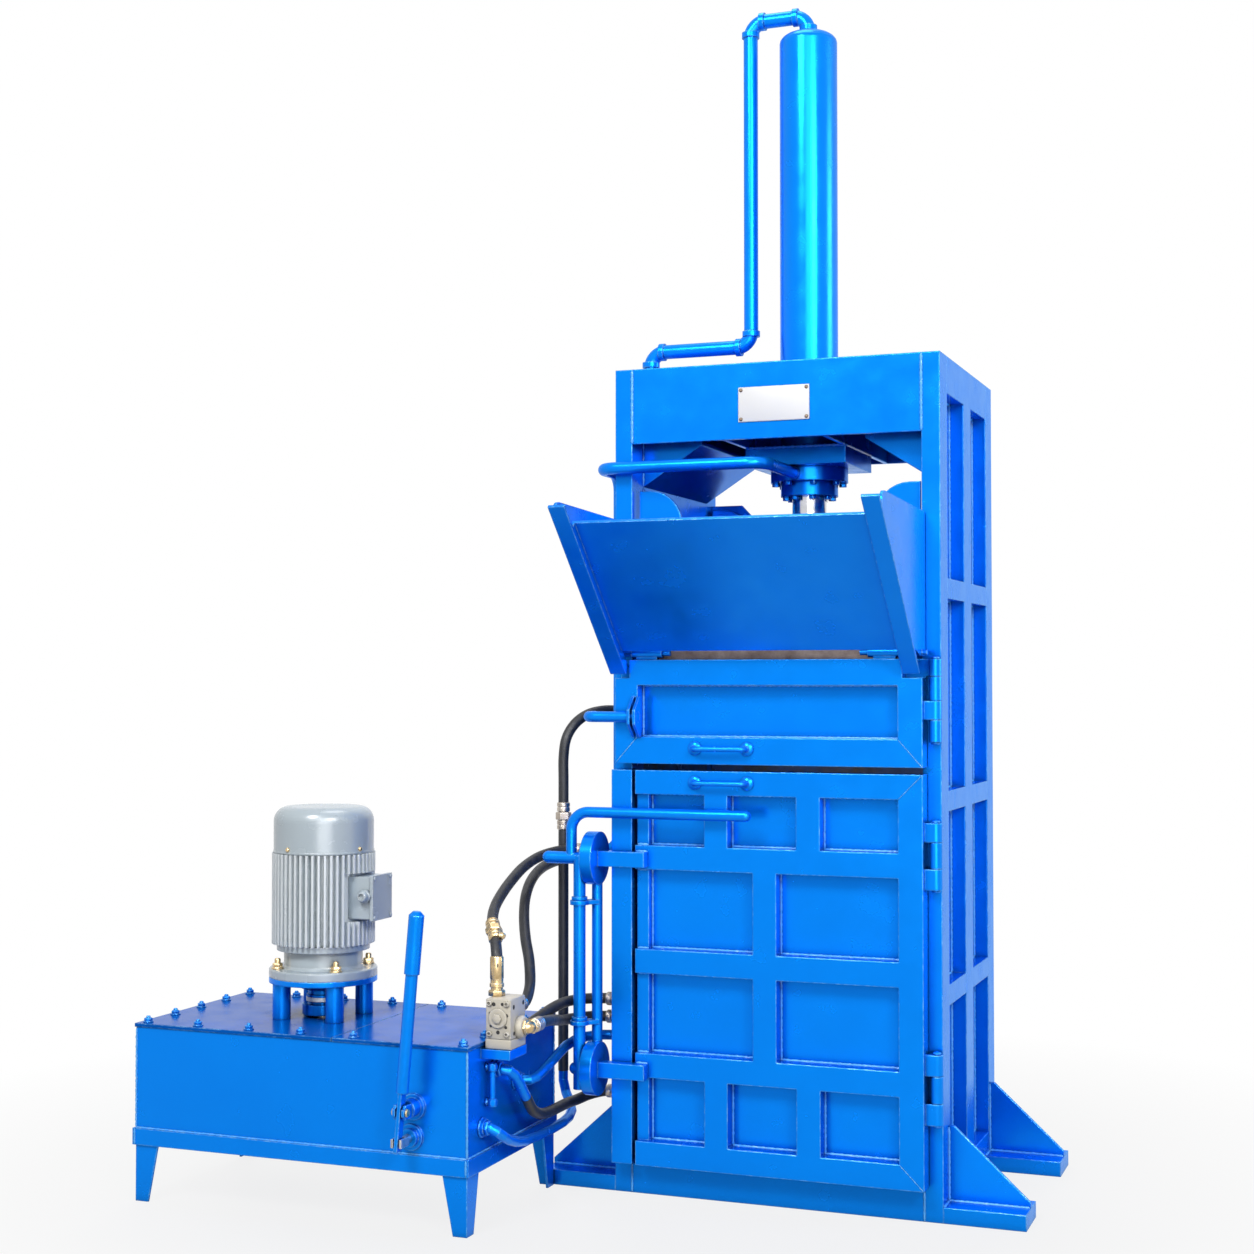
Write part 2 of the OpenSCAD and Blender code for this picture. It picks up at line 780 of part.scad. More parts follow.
// The cap-end line: a riser on the left side, over the beam and up to the cylinder's top
module cap_pipe() {
    r = cap_pipe_d / 2;
    socket_r = r + 5;
    socket_l = 16;
    foot = [riser_x - port_reach, 0, cap_foot_z];
    corners = [[riser_x, 0, cap_low_z], [cap_up_x, 0, cap_low_z],
        [cap_up_x, 0, cap_high_z], [0, 0, cap_high_z]];
    tee = [riser_x, 0, branch_z];
    route = concat([foot, [riser_x, 0, cap_foot_z]], corners, [[0, 0, dome_top]]);
    color(blue)
        union() {
            pipe_line(route, cap_bend, r, r - pipe_t);
            for (i = [1 : len(route) - 2], d = [unit(route[i - 1] - route[i]),
                    unit(route[i + 1] - route[i])])
                tube_along(route[i] + (cap_bend - socket_l) * d, route[i] + cap_bend * d,
                    socket_r, r - pipe_t);
            difference() {
                tube_along(tee, tee + branch_l * branch_dir / norm(branch_dir),
                    r - 2, r - pipe_t - 2);
                rod_z(branch_z - 2 * r, branch_z + 2 * r, riser_x, 0, r - eps);
            }
        }
}

// The rod-end line: from the flange, round the left column and down its side
module rod_pipe() {
    r = rod_pipe_d / 2;
    color(blue)
        pipe_line([[rod_pipe_x, -flange_d / 2 - 14, rod_pipe_z],
                [rod_pipe_x, rod_pipe_y, rod_pipe_z], [rod_riser_x, rod_pipe_y, rod_pipe_z],
                [rod_riser_x, rod_riser_y, rod_pipe_z], [rod_riser_x, rod_riser_y, rod_foot_z],
                [rod_riser_x - port_reach, rod_riser_y, rod_foot_z]],
            rod_bend, r, r - pipe_t);
}

module piston_rod() {
    color(chrome)
        rod_z(platen_top, piston_top - piston_h, 0, 0, rod_d / 2);
}

module piston() {
    color(steel)
        rod_z(piston_top - piston_h, piston_top, 0, 0, cyl_bore / 2 - run_gap);
}

// The platen with its hub, crossing ribs and upright guide plates at the corners
module platen() {
    rib_z = platen_top + platen_rib_h;
    hub_r = hub_d / 2;
    x0 = platen_x - guide_w;
    guide = concat([[x0, platen_top], [platen_x, platen_top], [platen_x, guide_z]],
        arc([x0 + guide_round, guide_z - guide_round], guide_round, 90, 180, 8));
    color(blue)
        union() {
            box(-platen_x, platen_x, platen_y0, platen_y1, platen_z, platen_top);
            difference() {
                union() {
                    rod_z(platen_top, rib_z, 0, 0, hub_r);
                    for (x = [-hub_r + rib_t, hub_r - 2 * rib_t])
                        box(x, x + rib_t, platen_y0 + 30, platen_y1 - 10, platen_top, rib_z);
                    for (y = [-hub_r + rib_t, hub_r - 2 * rib_t])
                        box(-platen_x + 10, platen_x - 10, y, y + rib_t, platen_top, rib_z);
                }
                rod_z(platen_top, rib_z + cut, 0, 0, rod_d / 2 + run_gap);
            }
            for (s = [0, 1], y = [guide_y, platen_y1 - guide_t])
                mirror([s, 0, 0])
                    plate_y(y, guide_t, guide);
        }
}

// Doors

// One knuckle between two heights, bored for its pin
module knuckle(z0, z1, leaf_x, leaf_y0, leaf_y1) {
    difference() {
        union() {
            rod_z(z0, z1, hinge_x, hinge_y, knuckle_r);
            box(min(leaf_x, hinge_x), max(leaf_x, hinge_x), leaf_y0, leaf_y1, z0, z1);
        }
        rod_z(z0 - cut, z1 + cut, hinge_x, hinge_y, pin_d / 2 + run_gap);
    }
}
module door_knuckle(z0, z1) {
    knuckle(z0 + knuckle_gap / 2, z1 - knuckle_gap / 2, door_x1, hinge_y - knuckle_r,
        hinge_y - pin_d / 2 + 4);
}
module column_knuckle(z0, z1) {
    a = z0 + knuckle_gap / 2;
    b = z1 - knuckle_gap / 2;
    difference() {
        union() {
            rod_z(a, b, hinge_x, hinge_y, knuckle_r);
            box(hinge_x - 12, hx, hinge_y, -hy, a, b);
        }
        rod_z(a - cut, b + cut, hinge_x, hinge_y, pin_d / 2 + run_gap);
    }
}

module frame_knuckles() {
    color(blue) {
        column_knuckle(upper_hinge[0], upper_hinge[1]);
        column_knuckle(upper_hinge[2], upper_hinge[3]);
        for (h = lower_hinges)
            column_knuckle(h[1], h[2]);
    }
}

// Pins with a domed head at both ends
module hinge_pin(z0, z1) {
    head_r = pin_d / 2 + 4;
    head_h = 8;
    r = pin_d / 2;
    translate([hinge_x, hinge_y, 0])
        rotate_extrude()
            polygon(concat([[0, z0 - head_h]],
                arc([head_r - head_h + 3, z0 - knuckle_gap], head_h - 3, -90, 0, 4),
                [[r, z0 - knuckle_gap], [r, z1 + knuckle_gap]],
                arc([head_r - head_h + 3, z1 + knuckle_gap], head_h - 3, 0, 90, 4),
                [[0, z1 + head_h]]));
}
module hinge_pins() {
    color(steel) {
        hinge_pin(upper_hinge[0], upper_hinge[4]);
        for (h = lower_hinges)
            hinge_pin(h[0], h[3]);
    }
}

// A bar on a door's skin between two limits in X and Z
module door_bar(x0, x1, z0, z1) {
    box(x0, x1, door_front, skin_front, z0, z1);
}

module upper_door() {
    inner_x0 = hop_x0 + hop_bar + 4;
    inner_x1 = hop_x1 - hop_bar - 4;
    stile_top = hop_z - 5;
    cheek_y0 = latch_y - latch_d / 2 - 8;
    color(blue)
        union() {
            box(upper_x0, door_x1, skin_front, door_back, upper_z0, upper_z1);
            door_bar(upper_x0, door_x1, upper_z0, upper_z0 + bar_w + 8);
            door_bar(inner_x0, inner_x1, upper_z1 - bar_w - 4, upper_z1);
            door_bar(upper_x0, upper_x0 + bar_w, upper_z0, stile_top);
            door_bar(door_x1 - bar_w, door_x1, upper_z0, stile_top);
            door_knuckle(upper_hinge[1], upper_hinge[2]);
            knuckle(upper_hinge[3] + knuckle_gap / 2, upper_hinge[4], door_x1,
                skin_front, door_back);
            for (x = [latch_x1 - 3 * cheek_t, latch_x1 - cheek_t])
                difference() {
                    plate_x(x, cheek_t, [[door_front, latch_z - cheek_h / 2],
                        [door_front, latch_z + cheek_h / 2],
                        [door_front - 10, latch_z + cheek_h / 2],
                        [cheek_y0, latch_z + latch_d / 2 + 4],
                        [cheek_y0, latch_z - latch_d / 2 - 4],
                        [door_front - 10, latch_z - cheek_h / 2]]);
                    rod_x(x - cut, x + cheek_t + cut, latch_y, latch_z, latch_d / 2 + run_gap);
                }
            for (x = [inner_x0 + 4, inner_x1 - 4 - 90])
                difference() {
                    union() {
                        rod_x(x, x + 90, barrel_y, barrel_z, barrel_r);
                        box(x + 15, x + 75, barrel_y - 9, barrel_y + 9, upper_z1, barrel_z);
                    }
                    rod_x(x - cut, x + 90 + cut, barrel_y, barrel_z, hop_pin_d / 2 + run_gap);
                }
        }
}

// A round bar bent into a low bow, standing off the door at height z
module bow_handle(z) {
    r = handle_d / 2;
    bend = 14;
    y = door_front - handle_off;
    rod_x(handle_x - handle_l / 2 + bend, handle_x + handle_l / 2 - bend, y, z, r);
    for (s = [-1, 1])
        rod_y(y + bend, door_front, handle_x + s * handle_l / 2, z, r);
    translate([handle_x - handle_l / 2 + bend, y + bend, z])
        rotate([0, 0, 180])
            rotate_extrude(angle = 90)
                translate([bend, 0])
                    circle(r);
    translate([handle_x + handle_l / 2 - bend, y + bend, z])
        rotate([0, 0, 270])
            rotate_extrude(angle = 90)
                translate([bend, 0])
                    circle(r);
}
module upper_handle() { color(blue) bow_handle(upper_z0 + 43); }
module lower_handle() { color(blue) bow_handle(lower_z1 - 32); }

// The hopper's folded front, drawn across its slope, with a wing at each side
module hopper() {
    t = hopper_t;
    f = hopper_fold;
    b0 = hop_x0 + hop_bar;
    b1 = hop_x1 - hop_bar;
    panel_end = hopper_l - panel_drop;
    // Directions up the slope and square to it, towards the inside
    up = [0, -sin(hopper_lean), cos(hopper_lean)];
    inward = [0, cos(hopper_lean), sin(hopper_lean)];
    foot = [0, hop_y, hop_z];
    edge = [hop_y, hop_z] + t * [inward[1], inward[2]];
    // The wing's front edge runs up the slope and rounds into its top edge
    run = (wing_top - wing_round - edge[1] - wing_round * inward[2]) / up[2];
    centre = edge + run * [up[1], up[2]] + wing_round * [inward[1], inward[2]];
    wing = concat([[wing_back, wing_z0], [hop_y, wing_z0], edge + 90 * [up[1], up[2]]],
        arc(centre, wing_round, 180 + hopper_lean, 90, 8), [[wing_back, wing_top - 15]]);
    color(blue)
        union() {
            translate(foot)
                rotate([hopper_lean, 0, 0])
                    union() {
                        for (x = [hop_x0, b1])
                            box(x, x + hop_bar, 0, t, t, hopper_l);
                        for (x = [b0 - t, b1])
                            box(x, x + t, 0, f, t, panel_end);
                        box(b0 - t, b1 + t, f - t, f, panel_start, panel_end);
                    }
            plate_x(hop_x0, t, wing);
            plate_x(hop_x1 - t, t, wing);
            rod_x(hop_x0 + t / 2, hop_x0 + hop_bar + 120, barrel_y, barrel_z, hop_pin_d / 2);
            rod_x(hop_x1 - hop_bar - 120, hop_x1 + 14, barrel_y, barrel_z, hop_pin_d / 2);
        }
}

// A rod that turns in the door's cheeks, with a leg bent back at its left end
module upper_latch() {
    r = latch_d / 2;
    color(blue)
        union() {
            rod_x(latch_x0 + 2 * r, latch_x1, latch_y, latch_z, r);
            translate([latch_x0 + 2 * r, latch_y + 2 * r, latch_z])
                rotate([0, 0, 180])
                    rotate_extrude(angle = 90)
                        translate([2 * r, 0])
                            circle(r);
            rod_y(latch_y + 2 * r, latch_y + latch_leg, latch_x0, latch_z, r);
        }
}

module lower_door() {
    x0 = lower_x0;
    x1 = door_x1;
    right = x1 - bar_w;
    left_w = 34;
    mid = -8;
    rails = [lower_z0, rail_4, rail_2, lower_z1 - bar_w];
    color(blue)
        union() {
            box(x0, x1, skin_front, door_back, lower_z0, lower_z1);
            for (z = rails)
                door_bar(x0, x1, z, z + bar_w);
            door_bar(x0, x1, rail_3, rail_3 + bar_w);
            door_bar(right, x1, lower_z0, lower_z1);
            box(x0, x0 + left_w, door_front + 18, skin_front, lower_z0, lower_z1);
            door_bar(mid - bar_w / 2, mid + bar_w / 2, rail_4, rail_2);
            for (x = [-145, 113]) {
                door_bar(x - bar_w / 2, x + bar_w / 2, rail_2, lower_z1);
                door_bar(x - bar_w / 2, x + bar_w / 2, lower_z0, rail_4);
            }
            for (h = lower_hinges) {
                door_knuckle(h[0], h[1]);
                door_knuckle(h[2], h[3]);
            }
        }
}

// Straps from the door's rails past the post, with discs, a fixed tube and two bearings
module lock_arms() {
    color(blue)
        difference() {
            union() {
                for (z = strap_zs) {
                    box(disc_x1, lower_x0 + 38, door_front - strap_d, door_front,
                        z - strap_h / 2, z + strap_h / 2);
                    rod_x(disc_x0, disc_x1, disc_y, z, disc_d / 2);
                }
                rod_z(strap_zs[0] + disc_d / 2 - stay_in, strap_zs[1] - disc_d / 2 + stay_in,
                    stay_x, stay_y, stay_d / 2);
                for (z = bearing_zs) {
                    rod_z(z, z + bearing_t, lock_x, lock_y, bearing_r);
                    placed([lock_x, lock_y, z], unit([stay_x - lock_x, stay_y - lock_y, 0]),
                            unit([lock_y - stay_y, stay_x - lock_x, 0]), [0, 0, 1])
                        translate([0, -16, 0])
                            cube([norm([stay_x - lock_x, stay_y - lock_y]), 32, bearing_t]);
                }
            }
            for (z = bearing_zs)
                rod_z(z - cut, z + bearing_t + cut, lock_x, lock_y, lock_d / 2 + run_gap);
        }
}

// The turning lock: an upright tube with two fingers and the long grip
module lock_bar() {
    r = grip_d / 2;
    fr = finger_d / 2;
    leg_x = lock_x - leg_off;
    color(blue)
        union() {
            rod_z(lock_z0, strap_zs[1] + fr / 2, lock_x, lock_y, lock_d / 2);
            for (z = bearing_zs)
                rod_z(z + bearing_t + collar_gap, z + bearing_t + 10, lock_x, lock_y,
                    lock_d / 2 + 5);
            rod_x(lock_x - finger_l, lock_x, lock_y, strap_zs[1], fr);
            rod_x(lock_x - finger_low_l, lock_x, lock_y, strap_zs[0], fr);
            for (p = [[lock_x - finger_l, strap_zs[1]], [lock_x, strap_zs[1]],
                    [lock_x - finger_low_l, strap_zs[0]]])
                translate([p[0], lock_y, p[1]])
                    sphere(fr);
            rod_z(strap_zs[1], grip_z - grip_bend, leg_x, lock_y, r);
            translate([leg_x + grip_bend, lock_y, grip_z - grip_bend])
                rotate([90, 0, 0])
                    rotate([0, 0, 90])
                        rotate_extrude(angle = 90)
                            translate([grip_bend, 0])
                                circle(r);
            rod_x(leg_x + grip_bend, lock_x + grip_l, lock_y, grip_z, r);
            translate([lock_x + grip_l, lock_y, grip_z])
                sphere(r);
        }
}

// Power unit

// An open sheet tank with a rim, a skirt, the valve bracket, ports and the lever's bosses
module oil_tank() {
    boss_r = spool_d / 2 + 13;
    color(blue)
        difference() {
            union() {
                difference() {
                    box(tank_x0, tank_x1, tank_y0, tank_y1, tank_z, tank_top);
                    box(tank_x0 + tank_t, tank_x1 - tank_t, tank_y0 + tank_t,
                        tank_y1 - tank_t, tank_z + tank_t, tank_top - tank_t);
                    box(tank_x0 + rim_w, tank_x1 - rim_w, tank_y0 + rim_w,
                        tank_y1 - rim_w, tank_top - 2 * tank_t, tank_top + cut);
                }
                difference() {
                    box(tank_x0 - skirt_out, tank_x1 + skirt_out, tank_y0 - skirt_out,
                        tank_y1 + skirt_out, tank_z, tank_z + skirt_h);
                    box(tank_x0 + tank_t / 2, tank_x1 - tank_t / 2, tank_y0 + tank_t / 2,
                        tank_y1 - tank_t / 2, tank_z - cut, tank_z + skirt_h + cut);
                }
                box(tank_x1 - eps, block_x0 + block_w, block_y0 - 5, block_y0 + block_d + 5,
                    block_z0 - bracket_t, block_z0);
                for (p = [pipe_1[0], pipe_2[0], pipe_3[0]])
                    rod_x(tank_x1 - eps, p[0], p[1], p[2], port_r);
                rod_y(tank_y0 - 20, tank_y0 + eps, spool_x, spool_z, boss_r);
                rod_y(tank_y0 - 8, tank_y0 + eps, spool_x, spool_z, boss_r + 10);
                rod_y(tank_y0 - 8, tank_y0 + eps, pivot[0], pivot[2], boss_r + 10);
                rod_y(tank_y0 - 42, tank_y0 + eps, pivot[0], pivot[2], boss_r);
                for (x = [pivot[0] - bar_x / 2 - cheek_clear - 8, pivot[0] + bar_x / 2 + cheek_clear])
                    difference() {
                        box(x, x + 8, pivot[1] - 14, tank_y0 - 30, pivot[2] - 18, pivot[2] + 18);
                        for (z = [-18, 18])
                            rod_x(x - cut, x + 8 + cut, pivot[1] - 14, pivot[2] + z, 9);
                    }
                rod_x(pivot[0] - 18, pivot[0] + 18, pivot[1], pivot[2], lever_pin_d / 2);
            }
            rod_y(tank_y0 - 20 - cut, tank_y0 + tank_t + cut, spool_x, spool_z,
                spool_d / 2 + run_gap);
        }
}

// A leg folded from plate, narrower at the floor
module tank_leg() {
    plate_y(0, leg_t, [[0, 0], [leg_foot, 0], [leg_w, tank_z], [0, tank_z]]);
    plate_x(0, leg_t, [[0, 0], [leg_foot, 0], [leg_w, tank_z], [0, tank_z]]);
}
module tank_legs() {
    color(blue)
        for (sx = [0, 1], sy = [0, 1])
            translate([sx == 0 ? tank_x0 : tank_x1, sy == 0 ? tank_y0 : tank_y1, 0])
                mirror([sx, 0, 0])
                    mirror([0, sy, 0])
                        tank_leg();
}

// Two lid plates on the tank's rim, the left one bored for the coupling
module tank_lid() {
    y0 = tank_y0 - lid_over;
    y1 = tank_y1 + lid_over;
    color(blue)
        difference() {
            union() {
                box(tank_x0 - lid_over, lid_split, y0, y1, tank_top, lid_top);
                box(lid_split + seam_gap, tank_x1 + lid_over, y0, y1, tank_top, lid_top);
            }
            rod_z(tank_top - cut, lid_top + cut, motor_x, motor_y, coupling_hole);
        }
}

module lid_bolts() {
    in = 22;
    r = 10;
    h = 8;
    span_x = tank_w - 2 * in;
    span_y = tank_d - 2 * in;
    color(blue)
        for (s = [0, 1]) {
            for (i = [0 : 6])
                translate([tank_x0 + in + span_x * i / 6, tank_y0 + in + s * span_y, lid_top])
                    cylinder(h = h, r1 = r, r2 = r - 4, $fn = 24);
            for (i = [1 : 3])
                translate([tank_x0 + in + s * span_x, tank_y0 + in + span_y * i / 4, lid_top])
                    cylinder(h = h, r1 = r, r2 = r - 4, $fn = 24);
        }
}

// Outline of the finned housing, with or without the fins behind the terminal box
function turned(a, x, y) = [x * cos(a) - y * sin(a), x * sin(a) + y * cos(a)];
function fin_outline(gap) =
    let (h = fin_t / 2, x0 = sqrt(core_r * core_r - h * h), x1 = motor_d / 2)
    [for (i = [0 : fin_n - 1])
        let (a = 360 * (i + 0.5) / fin_n, off = abs((a + 180) % 360 - 180))
        each off > gap ?
            [turned(a, x0, -h), turned(a, x1, -h), turned(a, x1, h), turned(a, x0, h)] :
            [turned(a, x0, -h), turned(a, x0, h)]];
module motor_frame() {
    half = asin((box_w / 2 + fin_t) / core_r);
    levels = [shield_top, box_z0 - 4, box_z0 + box_h + 4, motor_top];
    color(motor_grey)
        translate([motor_x, motor_y, 0])
            union()
                for (i = [0 : 2])
                    translate([0, 0, levels[i]])
                        linear_extrude(levels[i + 1] - levels[i])
                            polygon(fin_outline(i == 1 ? half : -1));
}

module fan_cowl() {
    r = motor_d / 2 - 4;
    top = motor_top + cowl_h;
    color(motor_grey)
        translate([motor_x, motor_y, 0])
            rotate_extrude($fn = 96)
                polygon(concat([[r - cowl_t, motor_top], [r, motor_top]],
                    arc([r - cowl_round, top - cowl_round], cowl_round, 0, 90, 8), [[0, top],
                    [0, top - cowl_t]],
                    arc([r - cowl_round, top - cowl_round], cowl_round - cowl_t, 90, 0, 8)));
}

// The drive-end shield: a collar, a plain neck and the mounting flange
module motor_flange() {
    flange_t = 24;
    collar_h = 22;
    neck_r = 109;
    collar_r = 129;
    fr = motor_flange_d / 2;
    bore = shaft_d / 2 + run_gap;
    color(motor_grey)
        translate([motor_x, motor_y, 0])
            rotate_extrude($fn = 96)
                polygon([[bore, stand_top], [fr, stand_top], [fr, stand_top + flange_t - 3],
                    [fr - 3, stand_top + flange_t], [neck_r + 6, stand_top + flange_t],
                    [neck_r, stand_top + flange_t + 8], [neck_r, shield_top - collar_h],
                    [collar_r, shield_top - collar_h + 4], [collar_r, shield_top],
                    [bore, shield_top]]);
}

module terminal_box() {
    lid = 10;
    x0 = core_r - 14;
    x1 = motor_d / 2 + box_out;
    color(motor_grey)
        translate([motor_x, motor_y, 0])
            difference() {
                union() {
                    box(x0, x1 - lid, -box_w / 2 + 4, box_w / 2 - 4, box_z0 + 4,
                        box_z0 + box_h - 4);
                    box(x1 - lid, x1, -box_w / 2, box_w / 2, box_z0, box_z0 + box_h);
                }
                rod_z(box_z0 - cut, box_z0 + box_h + cut, 0, 0, core_r + fit_gap);
            }
}

// A ring on four posts between the lid and the motor's flange
module motor_stand() {
    ring_in = stand_r - post_r - 4;
    color(blue)
        translate([motor_x, motor_y, 0])
            union() {
                difference() {
                    rod_z(stand_top - stand_ring_h, stand_top, 0, 0, motor_flange_d / 2);
                    rod_z(stand_top - stand_ring_h - cut, stand_top + cut, 0, 0, ring_in);
                }
                for (a = [45 : 90 : 315])
                    rotate([0, 0, a])
                        rod_z(lid_top, stand_top - stand_ring_h + eps, stand_r, 0, post_r);
            }
}

module motor_shaft() {
    color(steel)
        rod_z(shaft_low, shaft_high, motor_x, motor_y, shaft_d / 2);
}

// The coupling: a disc, a neck with a pale ring, and a bell that widens towards the motor
module shaft_coupling() {
    z0 = lid_top + 8;
    z1 = stand_top - stand_ring_h - 2;
    disc_h = (z1 - z0) * 0.32;
    ring_z = z0 + (z1 - z0) * 0.46;
    ring_h = 14;
    bell_z = z1 - (z1 - z0) * 0.24;
    bore = shaft_d / 2 + run_gap;
    color(blue)
        translate([motor_x, motor_y, 0])
            rotate_extrude()
                polygon([[bore, z0], [58, z0], [58, z0 + disc_h], [42, z0 + disc_h], [42, ring_z],
                    [46, ring_z], [46, ring_z + ring_h], [42, ring_z + ring_h], [42, bell_z],
                    [60, bell_z + 3], [86, z1 - 6], [86, z1], [bore, z1]]);
}

// The pump under the lid, bored for the drive shaft
module pump() {
    flange_r = coupling_hole + 20;
    bore = shaft_d / 2 + run_gap;
    color(steel)
        translate([motor_x, motor_y, 0])
            rotate_extrude()
                polygon([[0, tank_top - pump_h], [pump_r, tank_top - pump_h],
                    [pump_r, tank_top - 14], [flange_r, tank_top - 14], [flange_r, tank_top],
                    [bore, tank_top], [bore, shaft_low - 2], [0, shaft_low - 2]]);
}

// A flat bar on the pivot that carries a tube and a thicker grip
module hand_lever() {
    slot_r = fork_pin_d / 2 + slot_gap;
    color(blue)
        difference() {
            translate(pivot)
                rotate([0, lever_lean, 0])
                    union() {
                        box(-bar_x / 2, bar_x / 2, -bar_y / 2, bar_y / 2,
                            -spool_drop - bar_end, bar_top);
                        rod_z(bar_top - 12, tube_top, 0, 0, tube_r);
                        rod_z(tube_top - eps, lever_l - lever_grip_d / 4, 0, 0, lever_grip_d / 2);
                        translate([0, 0, lever_l - lever_grip_d / 4 - eps])
                            cylinder(h = lever_grip_d / 4, r1 = lever_grip_d / 2,
                                r2 = lever_grip_d / 4);
                    }
            rod_x(pivot[0] - 40, pivot[0] + 40, pivot[1], pivot[2], lever_pin_d / 2 + run_gap);
            for (z = [-4, 4])
                rod_x(spool_x - 40, spool_x + 40, pivot[1], spool_z + z, slot_r);
            box(spool_x - 40, spool_x + 40, pivot[1] - slot_r, pivot[1] + slot_r,
                spool_z - 4, spool_z + 4);
        }
}

// The spool with a fork that holds the lever's lower end on a pin
module valve_spool() {
    tine_in = bar_x / 2 + cheek_clear;
    tine_t = 6;
    r = spool_d / 2;
    root = pivot[1] + fork_root;
    color(steel)
        union() {
            rod_y(root, tank_y0 + 40, spool_x, spool_z, r);
            box(spool_x - tine_in - tine_t, spool_x + tine_in + tine_t, root, root + 8,
                spool_z - r, spool_z + r);
            for (x = [-tine_in - tine_t, tine_in])
                box(spool_x + x, spool_x + x + tine_t, pivot[1] - 12, root + 8,
                    spool_z - r, spool_z + r);
            rod_x(spool_x - tine_in - eps, spool_x + tine_in + eps, pivot[1], spool_z,
                fork_pin_d / 2);
        }
}

module valve_block() {
    color(ivory)
        box(block_x0, block_x0 + block_w, block_y0, block_y0 + block_d, block_z0,
            block_z0 + block_h);
}

// Brass unions on the valve block and on the press side
module brass_fittings() {
    block_x1 = block_x0 + block_w;
    block_y1 = block_y0 + block_d;
    block_top = block_z0 + block_h;
    r = hose_d / 2 + 1;
    color(brass) {
        rod_z(block_top, hose_2[0][2], hose_2[0][0], hose_2[0][1], r);
        rod_y(block_y1, hose_3[0][1], hose_3[0][0], hose_3[0][2], r);
        rod_y(block_y1, hose_5[0][1], hose_5[0][0], hose_5[0][2], r);
        union() {
            rod_x(block_x1, hose_4[0][0], hose_4[0][1] - 30, hose_4[0][2], r - 2);
            translate([hose_4[0][0], hose_4[0][1] - 30, hose_4[0][2]])
                sphere(r - 2);
            rod_y(hose_4[0][1] - 30, hose_4[0][1], hose_4[0][0], hose_4[0][2], r - 2);
        }
        for (h = [hose_4, hose_5, hose_6])
            rod_x(h[len(h) - 1][0], -hx, h[len(h) - 1][1], h[len(h) - 1][2], r);
    }
}

// A sight tube between two fittings on the tank's side
module level_gauge() {
    r = 8;
    x = tank_x1 + gauge_out;
    color(blue)
        union() {
            rod_z(gauge_z0, gauge_z0 + gauge_h, x, gauge_y, r);
            for (z = [gauge_z0 + 10, gauge_z0 + gauge_h - 10]) {
                rod_x(tank_x1, x, gauge_y, z, r - 2);
                rod_z(z - 10, z + 10, x, gauge_y, r + 4);
            }
        }
}

module tank_pipes() {
    color(blue)
        for (p = [pipe_1, pipe_2, pipe_3])
            swept(p, tank_pipe_d / 2, 16);
}

module hose(route) {
    color(black)
        swept(route, hose_d / 2, 12);
}
module hose_return() { hose(hose_1); }
module hose_rod_end() { hose(hose_2); }
module hose_cap_end() { hose(hose_3); }
module hose_supply() { hose(hose_4); }
module hose_drain() { hose(hose_5); }
module hose_low() { hose(hose_6); }

column_front_left();
column_front_right();
column_rear_left();
column_rear_right();
side_wall_left();
side_wall_right();
back_wall();
base_frame();
lock_post();
top_beam();
cylinder_bed();
brace_left();
brace_right();
foot_front_left();
foot_front_right();
foot_rear_left();
foot_rear_right();
cylinder_tube();
cylinder_flange();
rod_gland();
cylinder_bolts();
cap_pipe();
rod_pipe();
frame_knuckles();
hinge_pins();
piston_rod();
piston();
platen();
upper_door();
upper_handle();
hopper();
upper_latch();
lower_door();
lower_handle();
lock_arms();
lock_bar();
oil_tank();
tank_legs();
tank_lid();
lid_bolts();
motor_frame();
fan_cowl();
motor_flange();
terminal_box();
motor_stand();
motor_shaft();
shaft_coupling();
pump();
hand_lever();
valve_spool();
valve_block();
brass_fittings();
level_gauge();
tank_pipes();
hose_return();
hose_rod_end();
hose_cap_end();
hose_supply();
hose_drain();
hose_low();
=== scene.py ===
"""Looks of the baling press.

Paint, hoses, welds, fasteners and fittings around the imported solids. Lengths are in metres,
apart from those that go through mm(), which are millimetres in the part's frame.
"""

import math

import bmesh
import bpy
from mathutils import Matrix, Vector


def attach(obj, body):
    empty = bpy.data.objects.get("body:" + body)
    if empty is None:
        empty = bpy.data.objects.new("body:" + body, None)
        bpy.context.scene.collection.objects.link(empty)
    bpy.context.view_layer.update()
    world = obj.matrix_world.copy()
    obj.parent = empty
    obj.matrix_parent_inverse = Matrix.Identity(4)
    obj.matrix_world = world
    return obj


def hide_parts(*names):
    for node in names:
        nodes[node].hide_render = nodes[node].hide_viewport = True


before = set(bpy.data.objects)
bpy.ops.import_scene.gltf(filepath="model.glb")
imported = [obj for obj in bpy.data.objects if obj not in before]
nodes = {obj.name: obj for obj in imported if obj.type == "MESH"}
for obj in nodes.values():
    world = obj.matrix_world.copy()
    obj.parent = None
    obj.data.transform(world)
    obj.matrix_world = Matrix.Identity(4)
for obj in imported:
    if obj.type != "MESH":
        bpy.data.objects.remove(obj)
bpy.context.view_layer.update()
scene = bpy.context.scene
scene.view_settings.view_transform = "Standard"

UP, RIGHT, FORWARD = (0, 0, 1), (1, 0, 0), (0, -1, 0)


def mm(*values):
    """A point in metres from millimetres."""
    return Vector([v / 1000 for v in values])


# Camera, at the photograph's place and angle

